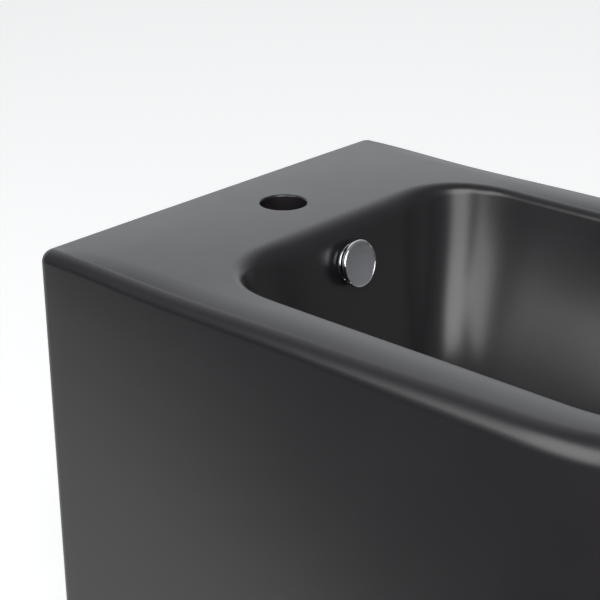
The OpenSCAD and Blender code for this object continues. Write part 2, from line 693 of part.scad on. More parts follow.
// Latch ring: six saw teeth on its lower edge that hold or free the plunger
module latch_ring() {
    r_out = chamber_r - fit_gap - spring_wire - fit_gap;
    r_in = stem_r + run_gap;
    top = cartridge_top_z - cap_h - seat_gap;
    color(steel_colour) at_waste() difference() {
        washer(chamber_r - fit_gap, r_in, latch_h - cap_h / 3, top - latch_h);
        for (i = [0 : 5]) rotate([0, 0, 60 * i]) translate([r_in / 2, 0, top - latch_h])
            rotate([90, 0, 90]) linear_extrude(r_out)
                polygon([[0, -cut], [collar_h / 1.5, -cut], [collar_h / 1.5, latch_h / 4], [0, 0]]);
    }
}

// Return spring: one wire wound in an even helix
module return_spring() {
    steps = 14;
    sides = 6;
    count = spring_turns * steps;
    points = [
        for (i = [0 : count])
            let (a = 360 * i / steps, z = mix(spring_low_z, spring_high_z, i / count))
            for (s = [0 : sides - 1])
                let (b = 360 * s / sides, r = spring_r + spring_wire / 2 * cos(b))
                [r * cos(a), r * sin(a), z + spring_wire / 2 * sin(b)]
    ];
    faces = concat(
        [[for (s = [0 : sides - 1]) s]],
        [for (i = [0 : count - 1]) for (s = [0 : sides - 1])
            [i * sides + s, (i + 1) * sides + s, (i + 1) * sides + (s + 1) % sides]],
        [for (i = [0 : count - 1]) for (s = [0 : sides - 1])
            [i * sides + s, (i + 1) * sides + (s + 1) % sides, i * sides + (s + 1) % sides]],
        [[for (s = [sides - 1 : -1 : 0]) count * sides + s]]
    );
    echo(least_gap = (spring_high_z - spring_low_z) / spring_turns - spring_wire);
    color(steel_colour) at_waste() polyhedron(points = points, faces = faces, convexity = 6);
}

module plunger() {
    color(brass_colour) at_waste() {
        translate([0, 0, collar_z]) cylinder(r = stem_r, h = stem_top_z - collar_z);
        translate([0, 0, collar_z]) cylinder(r = collar_r, h = collar_h);
        translate([0, 0, chamber_floor_z + collar_h]) cylinder(r = tip_r, h = collar_z - chamber_floor_z);
    }
}

// Plug cap: domed disc with a rounded edge and a threaded hub under it
module plug_cap() {
    ball_r = (plug_r * plug_r + plug_dome * plug_dome) / (2 * plug_dome);
    color(chrome_colour) at_waste() translate([0, 0, plug_z]) difference() {
        union() {
            rotate_extrude() {
                translate([plug_r - plug_t / 2, plug_t / 2]) circle(r = plug_t / 2);
                square([plug_r - plug_t / 2, plug_t]);
            }
            rotate_extrude() intersection() {
                translate([0, plug_t + plug_dome - ball_r]) circle(r = ball_r, $fn = 1440);
                translate([0, plug_t / 2]) square([plug_r - plug_t / 2, plug_t + plug_dome]);
            }
            translate([0, 0, hub_low_z - plug_z])
                cylinder(r = plug_hub_r, h = plug_z - hub_low_z + plug_t / 2);
        }
        translate([0, 0, hub_low_z - plug_z - cut])
            cylinder(r = stem_r + fit_gap, h = stem_top_z - hub_low_z + cut + fit_gap);
    }
}

module plug_seal() {
    slope_share = funnel_drop / (funnel_r - mouth_r);
    gap_z = run_gap / cos(atan(slope_share));
    top = plug_z - fit_gap;
    low = flange_top_z + gap_z - (funnel_r - seal_in_r) * slope_share;
    high = min(flange_top_z + gap_z - (funnel_r - seal_out_r) * slope_share, top - fit_gap);
    color(rubber_colour) at_waste() rotate_extrude()
        polygon([[seal_in_r, low], [seal_out_r, high], [seal_out_r, top], [seal_in_r, top]]);
}

// Floor bracket: upright and foot bent from one plate, with a cheek at each end
module floor_bracket(s) {
    foot_x = upright_x - bracket_foot_w;
    color(steel_colour) difference() {
        union() {
            translate([s > 0 ? upright_x - plate_t : -upright_x, fixing_y - bracket_len / 2, 0])
                cube([plate_t, bracket_len, bracket_h]);
            translate([s > 0 ? foot_x : -upright_x, fixing_y - bracket_len / 2, 0])
                cube([bracket_foot_w, bracket_len, plate_t]);
            for (y = [fixing_y - bracket_len / 2, fixing_y + bracket_len / 2 - plate_t])
                translate([0, y + plate_t, 0]) rotate([90, 0, 0]) linear_extrude(plate_t) polygon([
                    [s * (upright_x - plate_t / 2), plate_t / 2], [s * (foot_x + plate_t), plate_t / 2],
                    [s * (foot_x + plate_t), plate_t], [s * (upright_x - plate_t), bracket_h * 0.8],
                    [s * (upright_x - plate_t / 2), bracket_h * 0.8]
                ]);
        }
        for (y = [-1, 1]) translate([s * foot_hole_x, fixing_y + y * floor_hole_pitch / 2, -cut])
            cylinder(r = floor_hole_r, h = plate_t + 2 * cut);
        translate([s * (upright_x - plate_t - cut), fixing_y, fixing_h]) rotate([0, 90 * s, 0])
            cylinder(r = screw_r + fit_gap * 2, h = plate_t + 2 * cut);
    }
}

module left_floor_bracket() {
    floor_bracket(-1);
}

module right_floor_bracket() {
    floor_bracket(1);
}

module bracket_nuts() {
    color(steel_colour) at_fixings() translate([0, 0, nut_x - nut_h]) difference() {
        cylinder(r = nut_r, h = nut_h, $fn = 6);
        translate([0, 0, -cut]) cylinder(r = screw_r + fit_gap, h = nut_h + 2 * cut);
    }
}

// Side screws: countersunk heads that lie flush in the sleeves
module side_screws() {
    head_x = body_w / 2 + sleeve_flange_t;
    sink = screw_head_r - screw_r;
    low_x = nut_x - nut_h * 1.4;
    color(steel_colour) at_fixings() difference() {
        union() {
            translate([0, 0, low_x]) cylinder(r = screw_r, h = head_x - low_x);
            translate([0, 0, head_x - sink]) cylinder(r1 = screw_r, r2 = screw_head_r, h = sink);
        }
        translate([0, 0, head_x - screw_r / 2]) cylinder(r = screw_r * 0.55, h = screw_r, $fn = 6);
    }
}

// Side sleeves: nylon bush through the wall, with a countersunk flange outside
module side_sleeves() {
    head_x = body_w / 2 + sleeve_flange_t;
    sink = screw_head_r - screw_r;
    bore = screw_r + fit_gap * 2;
    overrun = seat_gap + fit_gap;
    color(nylon_colour) at_fixings() difference() {
        union() {
            translate([0, 0, bracket_x])
                cylinder(r = fixing_hole_r - fit_gap * 2, h = body_w / 2 + cut - bracket_x);
            translate([0, 0, body_w / 2 + seat_gap]) cylinder(r = sleeve_flange_r, h = sleeve_flange_t);
        }
        translate([0, 0, bracket_x - cut]) cylinder(r = bore, h = body_w / 2);
        translate([0, 0, head_x - sink])
            cylinder(r1 = bore, r2 = bore + sink + overrun, h = sink + overrun);
    }
}

// Side caps: turned covers that snap over the sleeves' flanges
module side_caps() {
    rise = sleeve_flange_t + 3 * seat_gap + side_cap_t;
    color(chrome_colour) at_fixings() translate([0, 0, body_w / 2 + seat_gap]) difference() {
        rotate_extrude() {
            square([side_cap_r - side_cap_t, rise]);
            square([side_cap_r, rise - side_cap_t]);
            translate([side_cap_r - side_cap_t, rise - side_cap_t]) circle(r = side_cap_t);
        }
        translate([0, 0, -cut]) cylinder(r = sleeve_flange_r + fit_gap, h = rise - side_cap_t + cut);
    }
}

ceramic_body();
overflow_gasket();
overflow_ring();
overflow_cap();
waste_body();
upper_seal();
lower_seal();
slip_washer();
back_nut();
cartridge_body();
cartridge_cap();
latch_ring();
return_spring();
plunger();
plug_cap();
plug_seal();
left_floor_bracket();
right_floor_bracket();
bracket_nuts();
side_screws();
side_sleeves();
side_caps();
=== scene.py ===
"""Floor standing bidet in satin black ceramic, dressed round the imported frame.

Lengths are in metres. +X is the right side seen from the front, +Y points to the wall and +Z points up.
"""

import math

import bmesh
import bpy
from bpy.props import FloatProperty, FloatVectorProperty, PointerProperty
from bpy.types import Operator, Panel, PropertyGroup
from mathutils import Matrix, Vector


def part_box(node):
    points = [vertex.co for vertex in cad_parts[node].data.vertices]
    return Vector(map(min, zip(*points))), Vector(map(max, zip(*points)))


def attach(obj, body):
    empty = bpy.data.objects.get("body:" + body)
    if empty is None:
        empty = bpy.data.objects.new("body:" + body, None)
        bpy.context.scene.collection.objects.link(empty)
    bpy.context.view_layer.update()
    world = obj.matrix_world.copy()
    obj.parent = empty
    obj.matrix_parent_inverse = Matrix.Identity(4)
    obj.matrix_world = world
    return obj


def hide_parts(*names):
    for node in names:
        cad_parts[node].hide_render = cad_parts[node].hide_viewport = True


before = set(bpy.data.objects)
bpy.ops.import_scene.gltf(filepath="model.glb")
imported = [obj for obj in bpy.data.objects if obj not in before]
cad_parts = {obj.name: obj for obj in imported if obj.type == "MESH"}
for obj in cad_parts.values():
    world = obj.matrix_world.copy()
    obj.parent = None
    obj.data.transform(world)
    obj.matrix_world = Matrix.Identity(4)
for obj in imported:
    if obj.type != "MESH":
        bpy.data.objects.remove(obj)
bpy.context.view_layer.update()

bl_info = {
    "name": "Floor Standing Bidet",
    "version": (1, 0, 0),
    "blender": (4, 5, 0),
    "location": "View3D > Sidebar > Bidet",
    "description": "Builds a satin black floor standing bidet with its trim, waste and floor fixings",
    "category": "Object",
}

MM = 0.001
# Distance at which two corners of a mesh become one, and the angle past which an edge stays sharp
WELD = 0.002 * MM
SHARP_ANGLE = math.radians(38)
# Overrun of a cut past the face that it opens
OVERRUN = 1.0 * MM
# Radii of the lips of the waste hole, of the small holes and of the opening in the back
WASTE_LIP = 1.6 * MM
HOLE_LIP = 0.8 * MM
ARCH_LIP = 2.2 * MM
# How far the overflow duct's inside stays off the bowl's own skin
DUCT_SEAM = 0.6 * MM
# How far the duct reaches over the boss, and into the waste hole and the bend, as shares of their sizes
DUCT_BOSS_SHARE = 0.8
DUCT_MOUTH_SHARE = 0.7
# Width of the posts beside the opening in the back, in walls, and its drop from the rim, in deck widths
ARCH_WALLS = 3
ARCH_DROP_SHARE = 0.65
# Weight of the fine grain beside the coarse one
FINE_GRAIN_SHARE = 0.35


def centre_of(node):
    """Middle of a node's box."""
    low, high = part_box(node)
    return (low + high) / 2


def length(name, description, default):
    """A size in metres that a user may change."""
    return FloatProperty(
        name=name, description=description, default=default, min=0.0, unit="LENGTH", precision=4
    )


def colour(name, description, default):
    """A colour that a user may change."""
    return FloatVectorProperty(
        name=name, description=description, default=default, size=3, min=0.0, max=1.0, subtype="COLOR"
    )


def share(name, description, default):
    """A plain number from nothing to one."""
    return FloatProperty(
        name=name, description=description, default=default, min=0.0, max=1.0, subtype="FACTOR"
    )


def watts(name, description, default):
    """The power of a lamp."""
    return FloatProperty(name=name, description=description, default=default, min=0.0)


class CastingSizes(PropertyGroup):
    """Sizes of the ceramic casting."""

    body_w: length("Width", "Width across the outside walls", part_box("ceramic_body")[1].x * 2)
    body_len: length("Length", "Length from the wall to the front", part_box("ceramic_body")[1].y * 2)
    rim_h: length("Rim height", "Height of the rim above the floor", 0.400)
    wall_t: length("Wall", "Thickness of the outside walls", 0.010)
    deck_t: length("Deck thickness", "Thickness of the deck and the rim", 0.014)
    back_corner_r: length("Back corner", "Radius of the two upright back corners", 0.010)
    front_start: length("Front curve start", "Distance from the wall to the start of the front curve", 0.390)
    front_rake: length("Front rake", "How far the foot stands back from the front of the rim", 0.045)
    edge_back_r: length("Edge at the wall", "Radius of the top outside edge beside the wall", 0.009)
    edge_front_r: length("Edge at the front", "Radius of the top outside edge at the front", 0.014)
    foot_r: length("Foot edge", "Radius of the edge of the foot", 0.0025)
    deck_crown: length("Deck crown", "Height of the swell of the deck", 0.0035)
    rim_crown: length("Rim crown", "Height of the crown of the rim beside the bowl", 0.0015)
    rim_fall: length("Rim fall", "How far the sides fall to their outside edge", 0.0026)
    rim_dip: length("Rim dip", "How far the rims dip to the bowl", 0.0015)
    bowl_w: length("Bowl width", "Width of the opening between the side rims", 0.284)
    bowl_back: length("Bowl back", "Distance from the wall to the back of the opening", 0.115)
    bowl_front_rim: length("Front rim", "Width of the rim at the front", 0.043)
    bowl_corner_r: length("Bowl corner, across", "Reach across of the back corners of the opening", 0.068)
    bowl_corner_len: length("Bowl corner, along", "Reach of the same corners along the sides", 0.068)
    bowl_front_start: length("Bowl curve start", "Distance from the wall to the opening's front curve", 0.400)
    bowl_edge_back_r: length("Bowl edge, back", "Radius of the edge from the deck into the bowl", 0.016)
    bowl_edge_side_r: length("Bowl edge, sides", "Radius of the edge from the rims into the bowl", 0.0065)
    bowl_depth: length("Bowl depth", "Depth of the bowl below the rim", 0.150)
    bowl_draft: FloatProperty(
        name="Bowl draft", description="Lean of the bowl's walls from upright",
        default=math.radians(9.5), subtype="ANGLE", unit="ROTATION",
    )
    bowl_t: length("Bowl thickness", "Thickness of the bowl", 0.011)
    floor_fall: length("Floor fall", "Fall of the bowl's floor towards the waste", 0.009)
    tap_back: length("Tap hole place", "Distance from the wall to the tap hole", 0.0685)
    tap_hole_r: length("Tap hole", "Radius of the tap hole", 0.0175)
    tap_lip_r: length("Tap hole lip", "Radius of the rounded lip of the tap hole", 0.0015)
    tap_clamp_t: length("Tap clamp", "Thickness above the flat seat under the tap hole", 0.0125)
    tap_seat_r: length("Tap seat", "Radius of the flat seat under the tap hole", 0.025)
    waste_back: length("Waste place", "Distance from the wall to the waste hole", 0.250)
    waste_hole_r: length("Waste hole", "Radius of the waste hole", 0.023)
    waste_seat_r: length("Waste recess", "Radius of the recess for the waste flange", 0.0335)
    waste_seat_depth: length("Waste recess depth", "Depth of the recess for the waste flange", 0.004)
    boss_r: length("Boss", "Radius of the boss under the bowl", 0.038)
    boss_h: length("Boss height", "Height of the boss below the recess", 0.038)
    overflow_drop: length("Overflow drop", "Drop from the rim to the overflow hole", 0.028)
    overflow_hole_r: length("Overflow hole", "Radius of the overflow hole", 0.0105)
    duct_w: length("Duct width", "Inside width of the overflow duct", 0.030)
    duct_gap: length("Duct depth", "Inside depth of the overflow duct", 0.014)
    duct_skin: length("Duct wall", "Thickness of the overflow duct", 0.008)
    fixing_back: length("Fixing place", "Distance from the wall to the side fixing holes", 0.110)
    fixing_h: length("Fixing height", "Height of the side fixing holes", 0.055)
    fixing_hole_r: length("Fixing hole", "Radius of the side fixing holes", 0.007)


class Finishes(PropertyGroup):
    """Colours and gloss of the materials."""

    glaze: colour("Glaze", "Satin black glaze", (0.0078, 0.0064, 0.0080))
    glaze_cloud: colour("Glaze cloud", "Second tone of the glaze", (0.0092, 0.0078, 0.0094))
    glaze_roughness: share("Glaze roughness", "How much the glaze softens a reflection", 0.31)
    bisque: colour("Bisque", "Bare ceramic inside and under the foot", (0.46, 0.42, 0.37))
    chrome: colour("Chrome", "Polished chrome", (0.80, 0.81, 0.83))
    satin: colour("Satin chrome", "Brushed face of the overflow cap", (0.64, 0.66, 0.69))
    rubber: colour("Rubber", "Seals and gaskets", (0.030, 0.030, 0.031))
    nylon: colour("Nylon", "Sleeves, washer and cartridge", (0.74, 0.73, 0.69))
    brass: colour("Brass", "Back nut and plunger", (0.72, 0.53, 0.24))
    steel: colour("Steel", "Zinc plated brackets, nuts and screws", (0.58, 0.59, 0.60))


class StageSettings(PropertyGroup):
    """Floor, light and camera."""

    camera_place: FloatVectorProperty(
        name="Camera", description="Place of the camera", default=(-0.7753, -0.4923, 0.7675),
        size=3, subtype="XYZ", unit="LENGTH",
    )
    camera_dip: FloatProperty(
        name="Camera dip", description="Angle of the view below the horizon", default=0.4016,
        subtype="ANGLE", unit="ROTATION",
    )
    camera_turn: FloatProperty(
        name="Camera turn", description="Angle of the view from the X axis", default=0.7217,
        subtype="ANGLE", unit="ROTATION",
    )
    lens: FloatProperty(name="Lens", description="Focal length in millimetres", default=88.863)
    floor: colour("Floor", "Pale studio floor", (0.55, 0.55, 0.55))
    # Painted shade: the darker colour that reflections see on the floor past its painted lit side
    floor_painted_shade: colour("Far floor", "How dark the floor is mirrored past the white sheet", (0.16, 0.16, 0.16))
    floor_r: length("Floor radius", "Radius of the studio floor", 12.0)
    sky: colour("Sky light", "Cool white light from all round", (0.93, 0.96, 1.0))
    front_lamp: watts("Front lamp", "Power of the soft lamp at the front left", 58.0)
    side_lamp: watts("Side lamp", "Power of the soft lamp at the left", 30.0)
    back_lamp: watts("Back lamp", "Power of the wide lamp behind the bidet", 3.0)


def mix(a, b, part):
    """The value or point that lies the given part of the way from a to b."""
    return a + (b - a) * part


def eased(part):
    """A share that starts and ends gently."""
    part = min(1.0, max(0.0, part))
    return part * part * (3 - 2 * part)


def quarter(part):
    """How far a rounded edge of radius one lies from its side and from its top, part of the way round."""
    angle = math.pi / 2 * part
    return 1 - math.cos(angle), 1 - math.sin(angle)


def outline(place, half_w, back_y, front_y, start_y, corner_r, corner_len, corner_full, fullness):
    """A point of half an outline.

    Its place runs from 0, the middle of the back, past 1 and 2, the ends of the corner,
    and 3, the start of the front curve, to 4, the middle of the front.
    """
    if place <= 1:
        return Vector(((half_w - corner_r) * place, back_y))
    if place <= 2:
        turn = (place - 1) * math.pi / 2
        return Vector((
            half_w - corner_r * (1 - math.sin(turn) ** (2 / corner_full)),
            back_y - corner_len * (1 - max(0.0, math.cos(turn)) ** (2 / corner_full)),
        ))
    if place <= 3:
        return Vector((half_w, mix(back_y - corner_len, start_y, place - 2)))
    turn = (place - 3) * math.pi / 2
    return Vector((
        half_w * max(0.0, math.cos(turn)) ** (2 / fullness),
        mix(start_y, front_y, math.sin(turn) ** (2 / fullness)),
    ))


class CastingForm:
    """Places the points of the casting's surface from its sizes."""

    # Fullness of the plan curves and of the bowl's section
    FRONT_FULL = 2.15
    BOWL_FRONT_FULL = 2.3
    CORNER_FULL = 2.3
    BOWL_FULL = 3.4
    # Share of their reach that the bowl's sides lean in by on the way down, beyond the draft
    SIDE_LEAN = 0.165
    # Bend of the front's rake, and angle at which the bowl's section meets its floor
    RAKE_BEND = 1.5
    END_ANGLE = math.radians(81)
    # Angle of the section between whose ends the overflow fitting is square to the wall
    OVERFLOW_ANGLE = END_ANGLE / 12
    # Where the deck's swell is highest and where it ends, in widths of the deck from the wall
    SWELL_PEAK = 0.7
    SWELL_END = 1.7
    # Between which the sides come to fall outwards, and from where the rims dip, in the same widths
    FALL_START = 0.1
    FALL_END = 1.1
    RIM_START = 1.1
    # Share across the rim at which it is highest, and at which its dip to the bowl ends.
    # The lift makes up for the dip, as a share of it.
    RIM_TOP = 0.58
    RIM_TURN = 1.15
    RIM_LIFT = 0.8
    # Place on the back from which the bowl's edge narrows, and the pace of that there and round the corner
    NARROW_START = 0.5
    NARROW_BACK = 0.6
    NARROW_CORNER = 0.7
    # Share of the length at which the outside edge starts to widen, and the share over which it widens
    WIDEN_START = 0.25
    WIDEN_REACH = 0.6
    # Inside bends as a share of the deck, and the bowl's floor and the flare under it as shares of the boss
    BEND_SHARE = 0.6
    FLAT_SHARE = 0.08
    UNDER_SHARE = 1.15

    def __init__(self, sizes):
        self.size = sizes
        self.wall_y = sizes.body_len / 2
        self.waste = Vector((0.0, self.wall_y - sizes.waste_back))
        self.floor_z = sizes.rim_h - sizes.bowl_depth
        self.seat_z = self.floor_z - sizes.waste_seat_depth
        self.boss_z = self.seat_z - sizes.boss_h
        self.bend = sizes.deck_t * self.BEND_SHARE
        self.flat_r = sizes.waste_seat_r + sizes.boss_r * self.FLAT_SHARE
        self.under_r = sizes.boss_r * self.UNDER_SHARE
        reach = self.wall_y - sizes.bowl_back - self.bowl_edge_in(0) - self.waste.y
        self.draft_share = math.tan(sizes.bowl_draft) * (self.lip_z(0) - self.floor_z) / reach
        self.fall_share = sizes.floor_fall / sizes.bowl_depth

    def body(self, place, inset, height_share):
        """Outline of the outside walls, drawn in by inset."""
        s = self.size
        corner_r = max(s.back_corner_r - inset, s.back_corner_r * 0.6) if inset > 0 else s.back_corner_r
        rake = s.front_rake * max(0.0, 1 - height_share) ** self.RAKE_BEND
        return outline(
            place, s.body_w / 2 - inset, self.wall_y - inset, -self.wall_y + rake + inset,
            self.wall_y - s.front_start, corner_r, corner_r, 2.0, self.FRONT_FULL,
        )

    def edge(self, place, inset):
        """Outline of the rounded top edge, drawn in by inset."""
        s = self.size
        corner_r = max(s.back_corner_r - inset, 0.0)
        return outline(
            place, s.body_w / 2 - inset, self.wall_y - inset, -self.wall_y + inset,
            self.wall_y - s.front_start, corner_r, corner_r, 2.0, self.FRONT_FULL,
        )

    def opening(self, place, inset):
        """Outline of the bowl's opening, drawn in by inset."""
        s = self.size
        return outline(
            place, s.bowl_w / 2 - inset, self.wall_y - s.bowl_back - inset,
            -self.wall_y + s.bowl_front_rim + inset, self.wall_y - s.bowl_front_start,
            s.bowl_corner_r - inset, s.bowl_corner_len - inset, self.CORNER_FULL, self.BOWL_FRONT_FULL,
        )

    def deck_weight(self, place):
        """One on the deck, falling to nothing where the side rims start."""
        back = (min(place, 1.0) - self.NARROW_START) * self.NARROW_BACK
        corner = (min(max(place, 1.0), 2.0) - 1) * self.NARROW_CORNER
        return 1 - eased(back + corner)

    def edge_r(self, place):
        """Radius of the top outside edge."""
        s = self.size
        from_wall = (self.wall_y - self.edge(place, 0).y) / s.body_len
        return mix(s.edge_back_r, s.edge_front_r, eased((from_wall - self.WIDEN_START) / self.WIDEN_REACH))

    def top_len(self, place):
        """Width of the top, from the outside to the opening."""
        return (self.edge(place, 0) - self.opening(place, 0)).length

    def crown(self, place, part):
        """Rise of the top above the rim's height, with the swell of the deck behind the bowl."""
        s = self.size
        plan = mix(self.edge(place, 0), self.opening(place, 0), part)
        from_wall = (self.wall_y - plan.y) / s.bowl_back
        from_side = (s.body_w / 2 - plan.x) / s.bowl_back
        across = 1 - max(0.0, 1 - from_side) ** 2
        if from_wall < self.SWELL_PEAK:
            along = 1 - (1 - from_wall / self.SWELL_PEAK) ** 2
        else:
            along = 1 - eased((from_wall - self.SWELL_PEAK) / (self.SWELL_END - self.SWELL_PEAK))
        # Share across the rim, from the outside to the bowl
        rim = (s.body_w / 2 - plan.x) * 2 / (s.body_w - s.bowl_w) if place <= 3 else part
        beside = eased(from_wall - self.RIM_START)
        falling = eased((from_wall - self.FALL_START) / (self.FALL_END - self.FALL_START))
        outward = max(0.0, 1 - rim / self.RIM_TOP) ** 2 * falling
        inward = max(0.0, (min(rim, self.RIM_TURN) - self.RIM_TOP) / (1 - self.RIM_TOP)) ** 2
        level = s.rim_crown * (1 - max(0.0, 1 - from_wall) ** 4)
        level += (s.deck_crown - s.rim_crown) * along * across
        return level - s.rim_fall * outward + s.rim_dip * beside * (self.RIM_LIFT - inward)

    def bowl_edge_r(self, place):
        """Radius of the edge into the bowl."""
        return mix(self.size.bowl_edge_side_r, self.size.bowl_edge_back_r, self.deck_weight(place))

    def bowl_edge_in(self, place):
        """How far the rounded edge reaches into the opening."""
        return self.bowl_edge_r(place) * math.cos(self.size.bowl_draft)

    def lip_z(self, place):
        """Height at which the rounded edge ends on the bowl's wall."""
        drop = self.bowl_edge_r(place) * (1 - math.sin(self.size.bowl_draft))
        return self.size.rim_h + self.crown(place, 1 + self.bowl_edge_in(place) / self.top_len(place)) - drop

    def drop(self, angle):
        """Share of the bowl's drop that the section has reached."""
        return math.sin(angle) ** (2 / self.BOWL_FULL)

    def reach(self, angle):
        """Share of the bowl's reach that the section still has."""
        return math.cos(angle) ** (2 / self.BOWL_FULL) * (1 - self.draft_share * self.drop(angle))

    def side_reach(self, angle):
        """The same share across the bowl, whose sides lean in more as they go down."""
        return self.reach(angle) * (1 - self.SIDE_LEAN * self.drop(angle) ** 2)

    def depth(self, angle):
        """Share of the bowl's depth, with the floor's fall towards the waste."""
        end = self.END_ANGLE
        fall = (1 - self.fall_share * self.reach(angle)) / (1 - self.fall_share * self.reach(end))
        return self.drop(angle) / self.drop(end) * fall

    def bowl_plan(self, place, angle, inset, end_r):
        """Outline of the bowl at one angle of its section, which ends on a circle round the waste."""
        away = self.opening(place, inset) - self.waste
        part = self.reach(angle)
        ring = away.normalized() * end_r * part / self.reach(self.END_ANGLE)
        roundness = max(0.0, 2 * angle / self.END_ANGLE - 1) ** 2
        wall = Vector((away.x * self.side_reach(angle), away.y * part))
        return self.waste + mix(wall, ring, roundness)

    def bowl_inside(self, place, angle):
        """Point on the inside of the bowl."""
        plan = self.bowl_plan(place, angle, self.bowl_edge_in(place), self.flat_r)
        return Vector((*plan, mix(self.lip_z(place), self.floor_z, self.depth(angle))))

    def bowl_outside(self, place, angle):
        """Point on the outside of the bowl."""
        plan = self.bowl_plan(place, angle, self.bowl_edge_in(place) - self.size.bowl_t, self.under_r)
        inside_z = mix(self.lip_z(place), self.floor_z, self.depth(angle))
        return Vector((*plan, inside_z - self.size.bowl_t * self.drop(angle)))

    def bowl_edge(self, place, part):
        """Point of the edge from the top into the bowl."""
        radius = self.bowl_edge_r(place)
        angle = (math.pi / 2 - self.size.bowl_draft) * part
        inset = radius * math.sin(angle)
        rise = self.crown(place, 1 + inset / self.top_len(place))
        return Vector((*self.opening(place, inset), self.size.rim_h + rise - radius * (1 - math.cos(angle))))

    def deck(self, place, part):
        """Point of the top between its two rounded edges."""
        radius = self.edge_r(place)
        plan = mix(self.edge(place, radius), self.opening(place, 0), part)
        rise = self.crown(place, mix(radius / self.top_len(place), 1, part))
        return Vector((*plan, self.size.rim_h + rise))

    def top_edge(self, place, part):
        """Point of the top outside edge, from the wall up to the top."""
        radius = self.edge_r(place)
        side, drop = quarter(part)
        rise = self.crown(place, radius * side / self.top_len(place))
        return Vector((*self.edge(place, radius * side), self.size.rim_h + rise - radius * drop))

    def wall(self, place, part):
        """Point of the outside wall, between the foot's edge and the top edge."""
        top = self.size.rim_h - self.edge_r(place)
        z = mix(self.size.foot_r, top, part)
        return Vector((*self.body(place, 0, z / top), z))

    def foot(self, place, part):
        """Point of the foot's rounded outside edge, from the wall down to the floor."""
        radius = self.size.foot_r
        side, drop = quarter(part)
        return Vector((*self.body(place, radius * side, 0), radius * drop))

    def foot_inside(self, place, part):
        """Point of the foot's rounded inside edge, from the floor up to the wall."""
        radius = self.size.foot_r
        side, drop = quarter(part)
        return Vector((*self.body(place, self.size.wall_t - radius * drop, 0), radius * side))

    def wall_inside(self, place, part):
        """Point of the inside of the walls."""
        top = self.size.rim_h - self.size.deck_t - self.bend
        z = mix(self.size.foot_r, top, part)
        return Vector((*self.body(place, self.size.wall_t, z / top), z))

    def roof_z(self, place, part):
        """Height of the underside of the top."""
        return self.size.rim_h + self.crown(place, part) - self.size.deck_t

    def wall_bend(self, place, part):
        """Point of the bend from the inside of the walls to the underside of the top."""
        side, drop = quarter(part)
        inset = self.size.wall_t + self.bend * side
        z = self.roof_z(place, inset / self.top_len(place)) - self.bend * drop
        return Vector((*self.body(place, inset, 1), z))

    def roof(self, place, part):
        """Point of the underside of the top."""
        root = self.bowl_edge_in(place) - self.size.bowl_t - self.bend
        start = self.size.wall_t + self.bend
        plan = mix(self.body(place, start, 1), self.opening(place, root), part)
        width = self.top_len(place)
        return Vector((*plan, self.roof_z(place, mix(start / width, 1 + root / width, part))))

    def bowl_bend(self, place, part):
        """Point of the bend from the underside of the top to the outside of the bowl."""
        side, drop = quarter(part)
        inset = self.bowl_edge_in(place) - self.size.bowl_t - self.bend * drop
        z = self.roof_z(place, 1 + inset / self.top_len(place)) - self.bend * side
        return Vector((*self.opening(place, inset), z))

    def boss(self, place, part):
        """Point of the bend from the bowl to the boss, and then the boss's foot at a part of 2."""
        s = self.size
        away = (self.opening(place, 0) - self.waste).normalized()
        flare = self.under_r - s.boss_r
        side, drop = quarter(min(part, 1.0))
        radius = s.boss_r + flare * drop
        z = self.floor_z - s.bowl_t - flare * side
        if part > 1:
            z = mix(z, self.boss_z, part - 1)
        return Vector((*(self.waste + away * radius), z))

    def overflow(self):
        """Place of the overflow hole on the bowl's back wall and the lean of that wall."""
        lip = self.bowl_inside(0, 0)
        low = self.bowl_inside(0, self.OVERFLOW_ANGLE)
        part = (lip.z - self.size.rim_h + self.size.overflow_drop) / (lip.z - low.z)
        return mix(lip, low, part), math.atan((lip.y - low.y) / (lip.z - low.z))

    def deck_rise(self, y):
        """Height of the deck at a distance from the wall, on the middle of the bidet."""
        return self.size.rim_h + self.crown(0, (self.wall_y - y) / self.size.bowl_back)


def new_piece(bm, name, materials):
    """An object at the origin with outward faces and soft shading."""
    bmesh.ops.remove_doubles(bm, verts=bm.verts, dist=WELD)
    bmesh.ops.recalc_face_normals(bm, faces=bm.faces)
    mesh = bpy.data.meshes.new(name)
    bm.to_mesh(mesh)
    bm.free()
    for material in materials:
        mesh.materials.append(material)
    shade_softly(mesh)
    piece = bpy.data.objects.new(name, mesh)
    bpy.context.scene.collection.objects.link(piece)
    return piece


def shade_softly(mesh):
    """Shades a mesh smooth, apart from its sharp edges."""
    mesh.shade_smooth()
    mesh.set_sharp_from_angle(angle=SHARP_ANGLE)


def seat(piece, body, slot, *nodes):
    """Makes a piece ride on its body and stand for its nodes."""
    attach(piece, body)
    if nodes:
        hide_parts(*nodes)


def filleted(corners, steps=6):
    """Points of an outline whose corners (x, z, radius) are rounded by arcs."""
    points = []
    for i, (x, z, radius) in enumerate(corners):
        here = Vector((x, z))
        if radius == 0:
            points.append(here)
            continue
        before = (Vector(corners[i - 1][:2]) - here).normalized()
        after = (Vector(corners[(i + 1) % len(corners)][:2]) - here).normalized()
        half = before.angle(after) / 2
        middle = here + (before + after).normalized() * radius / math.sin(half)
        start = here + before * radius / math.tan(half) - middle
        end = here + after * radius / math.tan(half) - middle
        first, last = math.atan2(start.y, start.x), math.atan2(end.y, end.x)
        turn = (last - first + math.pi) % math.tau - math.pi
        for k in range(steps + 1):
            angle = first + turn * k / steps
            points.append(middle + Vector((math.cos(angle), math.sin(angle))) * radius)
    return points


